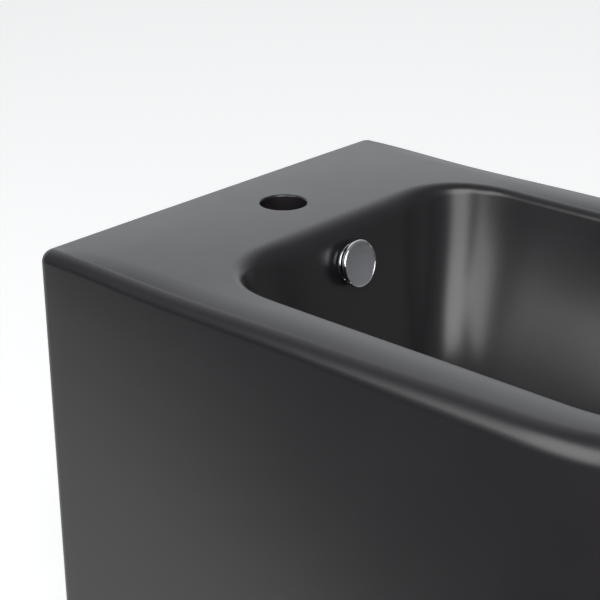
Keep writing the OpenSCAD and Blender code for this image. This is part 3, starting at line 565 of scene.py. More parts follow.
def lathe(bm, points, place=Matrix.Identity(4), steps=96):
    """Spins an outline of (radius, height) points and moves it to its place. It returns the new corners."""
    old = set(bm.verts)
    verts = [bm.verts.new((radius, 0.0, height)) for radius, height in points]
    edges = []
    for a, b in zip(verts, verts[1:] + verts[:1]):
        if a.co.x > WELD or b.co.x > WELD:
            edges.append(bm.edges.new((a, b)))
    bmesh.ops.spin(
        bm, geom=verts + edges, cent=(0, 0, 0), axis=(0, 0, 1), angle=math.tau, steps=steps, use_merge=True
    )
    new = [v for v in bm.verts if v not in old]
    bmesh.ops.remove_doubles(bm, verts=new, dist=WELD)
    new = [v for v in bm.verts if v not in old]
    bmesh.ops.transform(bm, matrix=place, verts=new)
    return new


def prism(bm, points, start, reach):
    """A solid drawn from a flat outline of corners at start, pushed along reach."""
    face = bm.faces.new([bm.verts.new(start + p) for p in points])
    pushed = bmesh.ops.extrude_face_region(bm, geom=[face])["geom"]
    verts = [g for g in pushed if isinstance(g, bmesh.types.BMVert)]
    bmesh.ops.translate(bm, vec=reach, verts=verts)
    return list(face.verts) + verts


def carve(piece, bm, operation="DIFFERENCE", material=None):
    """Cuts a closed bmesh out of a piece, or joins it on."""
    tool = new_piece(bm, piece.name + "_tool", [material] if material else list(piece.data.materials)[:1])
    modifier = piece.modifiers.new("carve", "BOOLEAN")
    modifier.operation = operation
    modifier.solver = "EXACT"
    modifier.object = tool
    if material:
        modifier.material_mode = "TRANSFER"
    graph = bpy.context.evaluated_depsgraph_get()
    made = bpy.data.meshes.new_from_object(piece.evaluated_get(graph))
    piece.modifiers.remove(modifier)
    old = piece.data
    made.name = old.name
    piece.data = made
    bpy.data.meshes.remove(old)
    spent = tool.data
    bpy.data.objects.remove(tool)
    bpy.data.meshes.remove(spent)
    if len(made.polygons) == 0:
        raise RuntimeError("a cut left nothing of " + piece.name)


def weld(mesh):
    """Closes the seams that cuts leave between double corners."""
    bm = bmesh.new()
    bm.from_mesh(mesh)
    bmesh.ops.remove_doubles(bm, verts=bm.verts, dist=WELD)
    bm.to_mesh(mesh)
    bm.free()


def feed(node, values):
    """Gives a node's inputs their values, or links them to the outputs of other nodes."""
    for key, value in values.items():
        if isinstance(value, bpy.types.NodeSocket):
            node.id_data.links.new(value, node.inputs[key])
        else:
            node.inputs[key].default_value = value


def add_node(tree, kind, place, values=None, **settings):
    """A shader node with its settings and inputs."""
    made = tree.nodes.new(kind)
    made.location = place
    for key, value in settings.items():
        setattr(made, key, value)
    feed(made, values or {})
    return made


def open_group(name, inputs):
    """A new shader group with named inputs, of which the vector has no default."""
    group = bpy.data.node_groups.new(name, "ShaderNodeTree")
    for label, default in inputs.items():
        kind = "NodeSocketVector" if default is None else "NodeSocketFloat"
        socket = group.interface.new_socket(name=label, in_out="INPUT", socket_type=kind)
        if default is not None:
            socket.default_value = default
    return group, add_node(group, "NodeGroupInput", (-600, 0)).outputs


def close_group(group, results):
    """Gives a shader group its named outputs."""
    for label in results:
        group.interface.new_socket(name=label, in_out="OUTPUT", socket_type="NodeSocketFloat")
    add_node(group, "NodeGroupOutput", (600, 0), results)
    return group


def cloud_group():
    """Slow change over a surface: a mask from 0 to 1 and a value between two limits."""
    if "Cloud" in bpy.data.node_groups:
        return bpy.data.node_groups["Cloud"]
    group, given = open_group("Cloud", {"Vector": None, "Scale": 20.0, "Low": 0.3, "High": 0.4})
    noise = add_node(group, "ShaderNodeTexNoise", (-300, 0), {
        "Vector": given["Vector"], "Scale": given["Scale"], "Detail": 4.0, "Roughness": 0.55,
    })
    spread = add_node(group, "ShaderNodeMapRange", (0, 0), {
        "Value": noise.outputs["Fac"], "From Min": 0.3, "From Max": 0.7,
    })
    limits = add_node(group, "ShaderNodeMapRange", (300, -200), {
        "Value": spread.outputs["Result"], "To Min": given["Low"], "To Max": given["High"],
    })
    return close_group(group, {"Mask": spread.outputs["Result"], "Value": limits.outputs["Result"]})


def grain_group():
    """Fine grain of a moulded, cast or glazed skin, as a height."""
    if "Grain" in bpy.data.node_groups:
        return bpy.data.node_groups["Grain"]
    group, given = open_group("Grain", {"Vector": None, "Fine": 900.0, "Coarse": 160.0})
    fine = add_node(group, "ShaderNodeTexNoise", (-300, 100), {
        "Vector": given["Vector"], "Scale": given["Fine"], "Detail": 3.0,
    })
    coarse = add_node(group, "ShaderNodeTexNoise", (-300, -200), {
        "Vector": given["Vector"], "Scale": given["Coarse"], "Detail": 1.0,
    })
    total = add_node(group, "ShaderNodeMath", (100, 0), {
        0: fine.outputs["Fac"], 1: FINE_GRAIN_SHARE, 2: coarse.outputs["Fac"],
    }, operation="MULTIPLY_ADD")
    return close_group(group, {"Height": total.outputs["Value"]})


def turned_group():
    """Fine rings of a turned or brushed face round the Z axis of its coordinates, as a height."""
    if "Turned" in bpy.data.node_groups:
        return bpy.data.node_groups["Turned"]
    group, given = open_group("Turned", {"Vector": None, "Scale": 400.0})
    rings = add_node(group, "ShaderNodeTexWave", (-200, 0), {
        "Vector": given["Vector"], "Scale": given["Scale"], "Distortion": 1.2, "Detail": 3.0,
    }, wave_type="RINGS", rings_direction="Z")
    return close_group(group, {"Height": rings.outputs["Fac"]})


class Surface:
    """A material that is being built: its shader, its coordinates and the groups that feed it."""

    def __init__(self, name, constants):
        self.material = bpy.data.materials.new(name)
        self.material.use_nodes = True
        self.tree = self.material.node_tree
        self.shader = self.tree.nodes["Principled BSDF"]
        feed(self.shader, constants)
        self.source = add_node(self.tree, "ShaderNodeTexCoord", (-1200, 0)).outputs["Object"]

    def centred(self, centre, turn=(0, 0, 0)):
        """Centres and turns the pattern on a piece."""
        mapping = add_node(self.tree, "ShaderNodeMapping", (-1000, 0), {
            "Vector": self.source, "Location": centre, "Rotation": turn,
        }, vector_type="TEXTURE")
        self.source = mapping.outputs["Vector"]

    def group(self, tree, place, values):
        """Places a shader group and feeds it the coordinates."""
        given = {"Vector": self.source, **values}
        return add_node(self.tree, "ShaderNodeGroup", place, given, node_tree=tree)

    def tones(self, first, second, scale):
        """Lets the colour drift between two tones."""
        cloud = self.group(cloud_group(), (-700, 300), {"Scale": scale})
        blend = add_node(self.tree, "ShaderNodeMix", (-400, 300), {
            "Factor": cloud.outputs["Mask"], "A": (*first, 1), "B": (*second, 1),
        }, data_type="RGBA")
        feed(self.shader, {"Base Color": blend.outputs["Result"]})

    def gloss(self, low, high, scale):
        """Lets the roughness drift between two values."""
        cloud = self.group(cloud_group(), (-700, 0), {"Scale": scale, "Low": low, "High": high})
        feed(self.shader, {"Roughness": cloud.outputs["Value"]})

    def bump(self, tree, distance, strength, **values):
        """Raises the surface by a group's height."""
        relief = self.group(tree, (-700, -300), values)
        bump = add_node(self.tree, "ShaderNodeBump", (-300, -300), {
            "Height": relief.outputs["Height"], "Strength": strength, "Distance": distance,
        })
        feed(self.shader, {"Normal": bump.outputs["Normal"]})


def glaze_material(finish):
    """Satin black glaze with a faint cloud and an eggshell grain."""
    surface = Surface("satin_black_glaze", {"IOR": 1.65})
    surface.tones(finish.glaze, finish.glaze_cloud, scale=9.0)
    surface.gloss(low=finish.glaze_roughness - 0.012, high=finish.glaze_roughness + 0.012, scale=35.0)
    surface.bump(grain_group(), distance=0.02 * MM, strength=0.5, Fine=1400.0, Coarse=220.0)
    return surface.material


def bisque_material(finish):
    """Bare fired ceramic, as it is inside the casting."""
    surface = Surface("bare_bisque", {"Specular IOR Level": 0.25})
    surface.tones(finish.bisque, [c * 0.82 for c in finish.bisque], scale=14.0)
    surface.gloss(low=0.78, high=0.92, scale=60.0)
    surface.bump(grain_group(), distance=0.12 * MM, strength=0.6, Fine=900.0, Coarse=120.0)
    return surface.material


def chrome_material(finish):
    """Polished chrome with the faintest smears."""
    surface = Surface("polished_chrome", {"Base Color": (*finish.chrome, 1), "Metallic": 1.0})
    surface.gloss(low=0.045, high=0.085, scale=55.0)
    surface.bump(grain_group(), distance=0.004 * MM, strength=0.4, Fine=700.0, Coarse=120.0)
    return surface.material


def satin_material(finish, centre, turn):
    """Satin chrome with fine turned rings round the piece's own axis."""
    surface = Surface("turned_satin_chrome", {"Metallic": 1.0})
    surface.centred(centre, turn)
    surface.tones(finish.satin, [c * 0.9 for c in finish.satin], scale=180.0)
    surface.gloss(low=0.30, high=0.38, scale=260.0)
    surface.bump(turned_group(), distance=0.006 * MM, strength=0.35, Scale=900.0)
    return surface.material


def rubber_material(finish):
    """Matt black rubber."""
    surface = Surface("black_rubber", {})
    surface.tones(finish.rubber, [c * 1.5 for c in finish.rubber], scale=90.0)
    surface.gloss(low=0.55, high=0.72, scale=140.0)
    surface.bump(grain_group(), distance=0.05 * MM, strength=0.5, Fine=1500.0, Coarse=300.0)
    return surface.material


def nylon_material(finish):
    """Moulded off-white nylon, slightly translucent in its shading."""
    surface = Surface("moulded_nylon", {"Subsurface Weight": 0.08})
    surface.tones(finish.nylon, [c * 0.94 for c in finish.nylon], scale=60.0)
    surface.gloss(low=0.40, high=0.52, scale=120.0)
    surface.bump(grain_group(), distance=0.03 * MM, strength=0.5, Fine=1200.0, Coarse=240.0)
    return surface.material


def brass_material(finish, centre):
    """Machined brass with turning marks round the waste's axis."""
    surface = Surface("machined_brass", {"Metallic": 1.0})
    surface.centred(centre)
    surface.tones(finish.brass, [c * 0.86 for c in finish.brass], scale=120.0)
    surface.gloss(low=0.20, high=0.34, scale=160.0)
    surface.bump(turned_group(), distance=0.02 * MM, strength=0.4, Scale=320.0)
    return surface.material


def steel_material(finish):
    """Zinc plated steel with a cloudy spangle."""
    surface = Surface("zinc_plated_steel", {"Metallic": 1.0})
    surface.tones(finish.steel, [c * 0.78 for c in finish.steel], scale=110.0)
    surface.gloss(low=0.30, high=0.48, scale=150.0)
    surface.bump(grain_group(), distance=0.02 * MM, strength=0.5, Fine=1100.0, Coarse=180.0)
    return surface.material


def finish_of(name):
    """The material of that name, made when it is first asked for."""
    finish = bpy.context.scene.bidet_finishes
    form = CastingForm(bpy.context.scene.bidet_casting)
    place, lean = form.overflow()
    waste = (form.waste.x, form.waste.y, 0)
    makers = {
        "satin_black_glaze": lambda: glaze_material(finish),
        "bare_bisque": lambda: bisque_material(finish),
        "polished_chrome": lambda: chrome_material(finish),
        "turned_satin_chrome": lambda: satin_material(finish, place, (math.pi / 2 - lean, 0, 0)),
        "black_rubber": lambda: rubber_material(finish),
        "moulded_nylon": lambda: nylon_material(finish),
        "machined_brass": lambda: brass_material(finish, waste),
        "zinc_plated_steel": lambda: steel_material(finish),
    }
    return bpy.data.materials.get(name) or makers[name]()


def dress_node(node, name):
    """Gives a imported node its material."""
    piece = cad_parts[node]
    piece.data.materials.clear()
    piece.data.materials.append(finish_of(name))


# Columns of the casting in the back, corner, side and front stretch of half an outline
COLUMNS = (32, 18, 26, 52)


def column_place(column):
    """Place of a column round half an outline, from 0 to 4."""
    for stretch, count in enumerate(COLUMNS):
        if column <= count:
            return stretch + column / count
        column -= count
    return float(len(COLUMNS))


def steps_of(maker, count, skip_first=False, power=1.0):
    """Rings made by a function of a part from 0 to 1, in even or drawn-out steps."""
    first = 1 if skip_first else 0
    return [lambda place, part=(k / count) ** power: maker(place, part) for k in range(first, count + 1)]


def casting_rings(form):
    """Rings of the casting, from the bowl's floor up, out over the rim, down, and back under to the boss."""
    end = form.END_ANGLE
    inside = steps_of(lambda p, part: form.bowl_inside(p, end * part), 40, power=1.5)
    outside = steps_of(lambda p, part: form.bowl_outside(p, end * part), 18, True, power=1.4)
    glazed = (
        inside[::-1]
        + steps_of(lambda p, part: form.bowl_edge(p, 1 - part), 14, True)
        + steps_of(lambda p, part: form.deck(p, 1 - part), 26, True)
        + steps_of(lambda p, part: form.top_edge(p, 1 - part), 14, True)
        + steps_of(lambda p, part: form.wall(p, 1 - part), 12, True)
        + steps_of(form.foot, 4, True)
    )
    bare = (
        steps_of(form.foot_inside, 4)
        + steps_of(form.wall_inside, 6, True)
        + steps_of(form.wall_bend, 4, True)
        + steps_of(form.roof, 5, True)
        + steps_of(form.bowl_bend, 4, True)
        + outside
        + steps_of(form.boss, 4, True)
        + [lambda place: form.boss(place, 2.0)]
    )
    return glazed, bare


def loft_casting(form):
    """The casting before its holes: a grid wrapped round the axis and drawn through every ring."""
    glazed, bare = casting_rings(form)
    rings = glazed + bare
    half = sum(COLUMNS)
    around, up = 2 * half, len(rings) - 1
    bm = bmesh.new()
    bmesh.ops.create_grid(bm, x_segments=around, y_segments=up, size=1)
    known = {}
    for face in bm.faces:
        row = (face.calc_center_median().y + 1) / 2 * up
        face.material_index = 1 if row > len(glazed) - 1 else 0
    for vert in bm.verts:
        column = round((vert.co.x + 1) / 2 * around)
        row = round((vert.co.y + 1) / 2 * up)
        side = 1 if column <= half else -1
        key = (min(column, around - column), row)
        if key not in known:
            known[key] = rings[row](column_place(key[0]))
        point = known[key]
        vert.co = (side * point.x, point.y, point.z)
    bmesh.ops.remove_doubles(bm, verts=bm.verts, dist=WELD)
    open_edges = [e for e in bm.edges if e.is_boundary]
    caps = bmesh.ops.holes_fill(bm, edges=open_edges, sides=0)["faces"]
    for face in caps:
        face.material_index = 0 if face.calc_center_median().z > form.boss_z + OVERRUN else 1
    return bm


def duct_section(form, near, far, steps=14):
    """Outline in Y and Z of the overflow duct, between two distances from the back of the bowl."""
    line = [form.bowl_bend(0, 1)]
    line += [form.bowl_outside(0, form.END_ANGLE * (k / steps) ** 1.2) for k in range(1, steps)]
    normals = []
    for k in range(len(line)):
        run = line[min(k + 1, len(line) - 1)] - line[max(k - 1, 0)]
        normals.append(Vector((0, -run.z, run.y)).normalized())
    outer = [p + n * far for p, n in zip(line, normals)]
    inner = [p + n * near for p, n in zip(line, normals)]
    return line, outer, inner


def duct_solid(form):
    """The duct's outside, from the deck's underside to the boss."""
    s = form.size
    line, outer, inner = duct_section(form, -s.bowl_t / 3, s.duct_gap + s.duct_skin)
    width = s.duct_w + 2 * s.duct_skin
    roof_z = line[-1].z
    low = roof_z - s.duct_gap - s.duct_skin
    end_y = form.waste.y + s.boss_r * DUCT_BOSS_SHARE
    top = line[0].z + s.deck_t
    points = outer + [
        Vector((0, line[-1].y, low)), Vector((0, end_y, low)), Vector((0, end_y, roof_z + s.bowl_t / 2)),
    ] + inner[::-1] + [
        Vector((0, line[0].y - s.bowl_t / 3, top)), Vector((0, line[0].y + s.duct_gap + s.duct_skin, top)),
    ]
    bm = bmesh.new()
    prism(bm, points, Vector((-width / 2, 0, 0)), Vector((width, 0, 0)))
    bmesh.ops.recalc_face_normals(bm, faces=bm.faces)
    return bm


def duct_hollow(form):
    """The duct's inside, from behind the overflow hole to the waste hole."""
    s = form.size
    line, outer, inner = duct_section(form, DUCT_SEAM, s.duct_gap)
    roof_z = line[-1].z - DUCT_SEAM
    end_y = form.waste.y + s.waste_hole_r * DUCT_MOUTH_SHARE
    rise = Vector((0, 0, form.bend * DUCT_MOUTH_SHARE))
    points = [outer[0] + rise] + outer + [
        Vector((0, line[-1].y, roof_z - s.duct_gap)), Vector((0, end_y, roof_z - s.duct_gap)),
        Vector((0, end_y, roof_z)),
    ] + inner[::-1] + [inner[0] + rise]
    bm = bmesh.new()
    prism(bm, points, Vector((-s.duct_w / 2, 0, 0)), Vector((s.duct_w, 0, 0)))
    return bm


def lip_arc(radius, lip, z, steps=8):
    """Points of a rounded lip that opens a hole of this radius onto a face at z."""
    arc = [quarter(k / steps) for k in range(steps + 1)]
    return [(radius + lip * side, z - lip * drop) for side, drop in arc]


def hole_points(radius, lip, low, face, high):
    """Outline of a cutter for a hole that opens onto a face with a rounded lip."""
    arc = lip_arc(radius, lip, face)
    return [(0, low), (radius, low), *arc, (arc[-1][0], high), (0, high)]


def tap_hole(form):
    """Cutter for the tap hole, whose rounded lip follows the deck's crown."""
    s = form.size
    y = form.wall_y - s.tap_back
    top = form.deck_rise(y)
    low = -2 * s.deck_t
    bm = bmesh.new()
    lathe(bm, hole_points(s.tap_hole_r, s.tap_lip_r, low, 0, 3 * s.tap_lip_r), steps=128)
    for vert in bm.verts:
        vert.co.y += y
        vert.co.z += form.deck_rise(vert.co.y) if vert.co.z > low / 2 else top
    return bm


def tap_seat(form):
    """Cutter for the flat seat under the tap hole."""
    s = form.size
    y = form.wall_y - s.tap_back
    top = form.deck_rise(y) - s.tap_clamp_t
    bm = bmesh.new()
    place = Matrix.Translation((0, y, 0))
    lathe(bm, [(0, top - s.deck_t), (s.tap_seat_r, top - s.deck_t), (s.tap_seat_r, top), (0, top)], place)
    return bm


def waste_hole(form):
    """Cutter for the waste hole and the recess of its flange."""
    s = form.size
    low = form.boss_z - OVERRUN
    recess = hole_points(s.waste_seat_r, WASTE_LIP, form.seat_z, form.floor_z, form.floor_z + OVERRUN)
    points = [(0, low), (s.waste_hole_r, low), (s.waste_hole_r, form.seat_z), *recess[1:]]
    bm = bmesh.new()
    lathe(bm, points, Matrix.Translation((*form.waste, 0)), steps=128)
    return bm


def overflow_place(form):
    """Matrix whose +Z points out of the overflow hole, square to the bowl's wall."""
    place, lean = form.overflow()
    return Matrix.Translation(place) @ Matrix.Rotation(math.pi / 2 - lean, 4, "X")


def overflow_hole(form):
    """Cutter for the overflow hole."""
    s = form.size
    low = -s.bowl_t - s.duct_gap / 2
    bm = bmesh.new()
    lathe(bm, hole_points(s.overflow_hole_r, HOLE_LIP, low, 0, 2 * OVERRUN), overflow_place(form))
    return bm


def arch_points(half_w, height, corner_r, low, steps=10):
    """Outline in X and Z of the opening in the back."""
    arc = [quarter(k / steps) for k in range(steps + 1)]
    right = [Vector((half_w - corner_r * side, 0, height - corner_r * drop)) for side, drop in arc]
    left = [Vector((-point.x, 0, point.z)) for point in right[::-1]]
    return [Vector((-half_w, 0, low)), Vector((half_w, 0, low))] + right + left


def back_arch(form):
    """Cutter for the opening in the back, with rounded edges on both faces of the wall."""
    s = form.size
    corner_r = ARCH_WALLS * s.wall_t
    half_w = s.body_w / 2 - corner_r
    height = s.rim_h - ARCH_DROP_SHARE * s.bowl_back
    stations = [(grow, -drop) for grow, drop in lip_arc(0, ARCH_LIP, 0, steps=5)[::-1]]
    depths = [(form.wall_y + OVERRUN, ARCH_LIP)]
    depths += [(form.wall_y - inset, grow) for grow, inset in stations]
    depths += [(form.wall_y - s.wall_t + inset, grow) for grow, inset in stations[::-1]]
    depths += [(form.wall_y - s.wall_t - OVERRUN, ARCH_LIP)]
    bm = bmesh.new()
    loops = []
    for y, grow in depths:
        points = arch_points(half_w + grow, height + grow, corner_r + grow, -OVERRUN * 3 - grow)
        verts = [bm.verts.new(p + Vector((0, y, 0))) for p in points]
        loops.append([bm.edges.new((verts[i - 1], verts[i])) for i in range(len(verts))])
    for first, second in zip(loops, loops[1:]):
        bmesh.ops.bridge_loops(bm, edges=first + second)
    bmesh.ops.holes_fill(bm, edges=[e for e in bm.edges if e.is_boundary], sides=0)
    return bm


def fixing_places(form):
    """Matrices of the two side fixings, whose +Z points out of the body."""
    s = form.size
    at = Matrix.Translation((0, form.wall_y - s.fixing_back, s.fixing_h))
    return [at @ Matrix.Rotation(side * math.pi / 2, 4, "Y") for side in (-1, 1)]


def fixing_holes(form):
    """Cutter for the two side fixing holes."""
    s = form.size
    face = s.body_w / 2
    points = hole_points(s.fixing_hole_r, HOLE_LIP, face - s.wall_t - OVERRUN, face, face + OVERRUN)
    bm = bmesh.new()
    for place in fixing_places(form):
        lathe(bm, points, place, steps=64)
    return bm


class BIDET_OT_casting(Operator):
    """Model the ceramic casting with its bowl, deck, duct and holes"""

    bl_idname = "bidet.casting"
    bl_label = "Ceramic Casting"

    def execute(self, context):
        form = CastingForm(context.scene.bidet_casting)
        glaze, bisque = finish_of("satin_black_glaze"), finish_of("bare_bisque")
        piece = new_piece(loft_casting(form), "ceramic_casting", [glaze, bisque])
        carve(piece, duct_solid(form), "UNION", bisque)
        carve(piece, duct_hollow(form), material=bisque)
        carve(piece, tap_seat(form), material=bisque)
        for cutter in (tap_hole, waste_hole, overflow_hole, back_arch, fixing_holes):
            carve(piece, cutter(form), material=glaze)
        weld(piece.data)
        shade_softly(piece.data)
        seat(piece, "bidet", "glaze", "ceramic_body")
        return {"FINISHED"}


class BIDET_OT_overflow(Operator):
    """Turn the chrome overflow cap and its push-in ring"""

    bl_idname = "bidet.overflow"
    bl_label = "Overflow Trim"

    # Places along the fitting's axis, out from the bowl's wall
    RING_Z = 1.3 * MM
    RING_T = 1.6 * MM
    RING_R = 15.0 * MM
    CAP_Z = 6.3 * MM
    CAP_T = 3.6 * MM
    CAP_R = 17.5 * MM
    RIM_W = 1.7 * MM
    DISH = 0.9 * MM
    SLEEVE_T = 1.5 * MM
    LEG_LEN = 15.3 * MM
    STEM_R = 2.0 * MM
    # Gap round the sleeve and round the stem, and the step from the cap's rim down to its face
    SLEEVE_GAP = 0.2 * MM
    STEM_GAP = 0.1 * MM
    FACE_STEP = 0.35 * MM

    def ring(self, form):
        """Flange, sleeve and hub of the push-in ring."""
        hole_r = form.size.overflow_hole_r - self.SLEEVE_GAP
        inner_r = hole_r - self.SLEEVE_T
        top = self.RING_Z + self.RING_T
        bm = bmesh.new()
        lathe(bm, filleted([
            (inner_r, -self.LEG_LEN, 0), (hole_r, -self.LEG_LEN, 0.4 * MM), (hole_r, self.RING_Z, 0),
            (self.RING_R, self.RING_Z, 0.3 * MM), (self.RING_R, top, 0.7 * MM), (inner_r, top, 0.5 * MM),
        ]))
        hub_r = self.STEM_R * 1.8
        lathe(bm, filleted([
            (self.STEM_R + self.STEM_GAP, -3 * MM, 0), (hub_r, -3 * MM, 0.4 * MM),
            (hub_r, top, 0.4 * MM), (self.STEM_R + self.STEM_GAP, top, 0.2 * MM),
        ]), steps=48)
        for turn in (90, 210, 330):
            arm = bmesh.ops.create_cube(bm, size=1)["verts"]
            reach = inner_r + 0.3 * MM - hub_r * 0.9
            size = Matrix.Diagonal((reach, self.SLEEVE_T, self.RING_T * 0.9, 1))
            at = Matrix.Translation((hub_r * 0.9 + reach / 2, 0, self.RING_Z + self.RING_T / 2))
            bmesh.ops.transform(bm, matrix=Matrix.Rotation(math.radians(turn), 4, "Z") @ at @ size, verts=arm)
        bmesh.ops.transform(bm, matrix=overflow_place(form), verts=bm.verts)
        return new_piece(bm, "overflow_trim_ring", [finish_of("polished_chrome")])

    def cap(self, form):
        """Dished cap with a polished rim and a satin face."""
        top = self.CAP_Z + self.CAP_T
        face_r = self.CAP_R - self.RIM_W
        bm = bmesh.new()
        dish = [
            (face_r * part, top - self.FACE_STEP - self.DISH * (1 - part * part))
            for part in (1.0, 0.8, 0.6, 0.4, 0.2, 0.0)
        ]
        rim = filleted([
            (0, self.CAP_Z, 0), (self.CAP_R, self.CAP_Z, 1.0 * MM), (self.CAP_R, top, 1.1 * MM),
            (face_r, top, 0.4 * MM), (face_r, top - self.FACE_STEP, 0),
        ])
        lathe(bm, [tuple(p) for p in rim] + dish[1:], steps=128)
        stem_low = self.RING_Z - 5 * MM
        stem_top = self.CAP_Z + MM
        lathe(bm, [(0, stem_low), (self.STEM_R, stem_low), (self.STEM_R, stem_top), (0, stem_top)], steps=32)
        for face in bm.faces:
            middle = face.calc_center_median()
            if middle.xy.length < face_r and middle.z > top - self.DISH - MM:
                face.material_index = 1
        bmesh.ops.transform(bm, matrix=overflow_place(form), verts=bm.verts)
        finishes = [finish_of("polished_chrome"), finish_of("turned_satin_chrome")]
        return new_piece(bm, "overflow_face_cap", finishes)

    def execute(self, context):
        form = CastingForm(context.scene.bidet_casting)
        seat(self.ring(form), "bidet", "chrome", "overflow_ring")
        seat(self.cap(form), "bidet", "satin_chrome", "overflow_cap")
        dress_node("overflow_gasket", "black_rubber")
        return {"FINISHED"}


class BIDET_OT_waste(Operator):
    """Turn the waste with its flange, thread, plug cap and seals"""

    bl_idname = "bidet.waste"
    bl_label = "Waste and Plug"

    THREAD_PITCH = 2.3 * MM
    THREAD_DEPTH = 0.9 * MM
    # Shares of a pitch at which the thread's root, its rising flank and its crest end
    THREAD_SHARES = (0.15, 0.5, 0.65)
    # Mouth and throat of the funnel, as shares of the flange and the bore
    FUNNEL_SHARE = 0.83
    THROAT_SHARE = 1.12

    def thread(self, radius, low, high):
        """Outline of a threaded stretch, from its low end to its high end."""
        turns = int((high - low) / self.THREAD_PITCH)
        pitch = (high - low) / turns
        root_r = radius - self.THREAD_DEPTH
        root, flank, crest = (pitch * part for part in self.THREAD_SHARES)
        points = []
        for k in range(turns):
            z = low + k * pitch
            points += [(root_r, z), (root_r, z + root), (radius, z + flank), (radius, z + crest)]
        return points + [(root_r, high)]

    def tube(self, form):
        """Flange, dish and threaded tube of the waste."""
        low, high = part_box("waste_body")
        flange_r = (high.x - low.x) / 2
        flange_t = 2.2 * MM
        tube_r, bore_r = 20.9 * MM, 17.6 * MM
        funnel_r, throat_r = flange_r * self.FUNNEL_SHARE, bore_r * self.THROAT_SHARE
        relief_z, relief_h = 187.55 * MM, 2.0 * MM
        top = high.z
        outer = [(tube_r - 1.1 * MM, low.z)]
        outer += self.thread(tube_r, low.z + 1.1 * MM, relief_z)
        outer += [(tube_r - 0.9 * MM, relief_z + relief_h)]
        outer += self.thread(tube_r, relief_z + relief_h, form.boss_z)
        outer += [(tube_r - 0.4 * MM, form.boss_z + MM), (tube_r - 0.4 * MM, top - flange_t)]
        rim = filleted([
            (flange_r - 6 * MM, top - flange_t, 0), (flange_r, top - flange_t, 0.5 * MM),
            (flange_r, top, 1.1 * MM), (funnel_r, top, 1.0 * MM),
            (throat_r, top - flange_t * 1.6, 1.2 * MM), (bore_r, top - flange_t * 3.2, 0.8 * MM),
            (bore_r, low.z, 0.4 * MM),
        ])
        bm = bmesh.new()
        lathe(bm, outer + [tuple(p) for p in rim], Matrix.Translation((*form.waste, 0)), steps=112)
        return new_piece(bm, "waste_flange_and_tube", [finish_of("polished_chrome")])

    def plug(self, form):
        """Domed plug cap with a rounded edge."""
        low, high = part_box("plug_cap")
        radius = (high.x - low.x) / 2
        edge_t, dome = 2.5 * MM, 3.5 * MM
        base = high.z - edge_t - dome
        hub_r = 7.6 * MM
        ball_r = (radius * radius + dome * dome) / (2 * dome)
        edge = edge_t / 2
        points = [(0, low.z), (hub_r, low.z), (hub_r, base), (radius - edge, base)]
        for k in range(1, 9):
            angle = math.radians(-90 + 20 * k)
            points.append((radius - edge + edge * math.cos(angle), base + edge + edge * math.sin(angle)))
        for k in range(13):
            r = (radius - edge * 0.9) * (1 - k / 12)
            points.append((r, high.z - ball_r + math.sqrt(ball_r * ball_r - r * r)))
        bm = bmesh.new()
        lathe(bm, points, Matrix.Translation((*form.waste, 0)), steps=128)
        return new_piece(bm, "plug_dome", [finish_of("polished_chrome")])

    def execute(self, context):
        form = CastingForm(context.scene.bidet_casting)
        seat(self.tube(form), "bidet", "chrome", "waste_body")
        seat(self.plug(form), "plug", "chrome", "plug_cap")
        for node in ("upper_seal", "lower_seal", "plug_seal"):
            dress_node(node, "black_rubber")
        for node in ("slip_washer", "cartridge_body", "cartridge_cap"):
            dress_node(node, "moulded_nylon")
        for node in ("back_nut", "plunger"):
            dress_node(node, "machined_brass")
        for node in ("latch_ring", "return_spring"):
            dress_node(node, "zinc_plated_steel")
        return {"FINISHED"}


class BIDET_OT_floor_fixing(Operator):
    """Make the side caps and finish the brackets, nuts, screws and sleeves"""

    bl_idname = "bidet.floor_fixing"
    bl_label = "Floor Fixing"

    CAP_WALL = 1.2 * MM

    def caps(self, form):
        """The two turned caps over the side screws."""
        low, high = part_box("side_caps")
        radius = (high.z - low.z) / 2
        face = form.size.body_w / 2
        base, top = face + 0.15 * MM, high.x
        bm = bmesh.new()
        for place in fixing_places(form):
            points = filleted([
                (radius, base, 0.2 * MM), (radius, top, 1.3 * MM), (0, top, 0),
                (0, top - self.CAP_WALL, 0), (radius - self.CAP_WALL, top - self.CAP_WALL, 0.3 * MM),
                (radius - self.CAP_WALL, base, 0.2 * MM),
            ])
            lathe(bm, [tuple(p) for p in points], place, steps=80)
        return new_piece(bm, "side_cover_caps", [finish_of("polished_chrome")])

    def execute(self, context):
        form = CastingForm(context.scene.bidet_casting)
        seat(self.caps(form), "bidet", "chrome", "side_caps")
        for node in ("left_floor_bracket", "right_floor_bracket", "bracket_nuts", "side_screws"):
            dress_node(node, "zinc_plated_steel")
        dress_node("side_sleeves", "moulded_nylon")
        return {"FINISHED"}


def seen_as_white(tree):
    """Two masks: the camera's rays, and the camera's with those of gloss and glass."""
    path = add_node(tree, "ShaderNodeLightPath", (-1100, 300)).outputs
    first = add_node(tree, "ShaderNodeMath", (-900, 300), {
        0: path["Is Camera Ray"], 1: path["Is Glossy Ray"],
    }, operation="MAXIMUM")
    second = add_node(tree, "ShaderNodeMath", (-700, 300), {
        0: first.outputs["Value"], 1: path["Is Transmission Ray"],
    }, operation="MAXIMUM")
    return path["Is Camera Ray"], second.outputs["Value"]


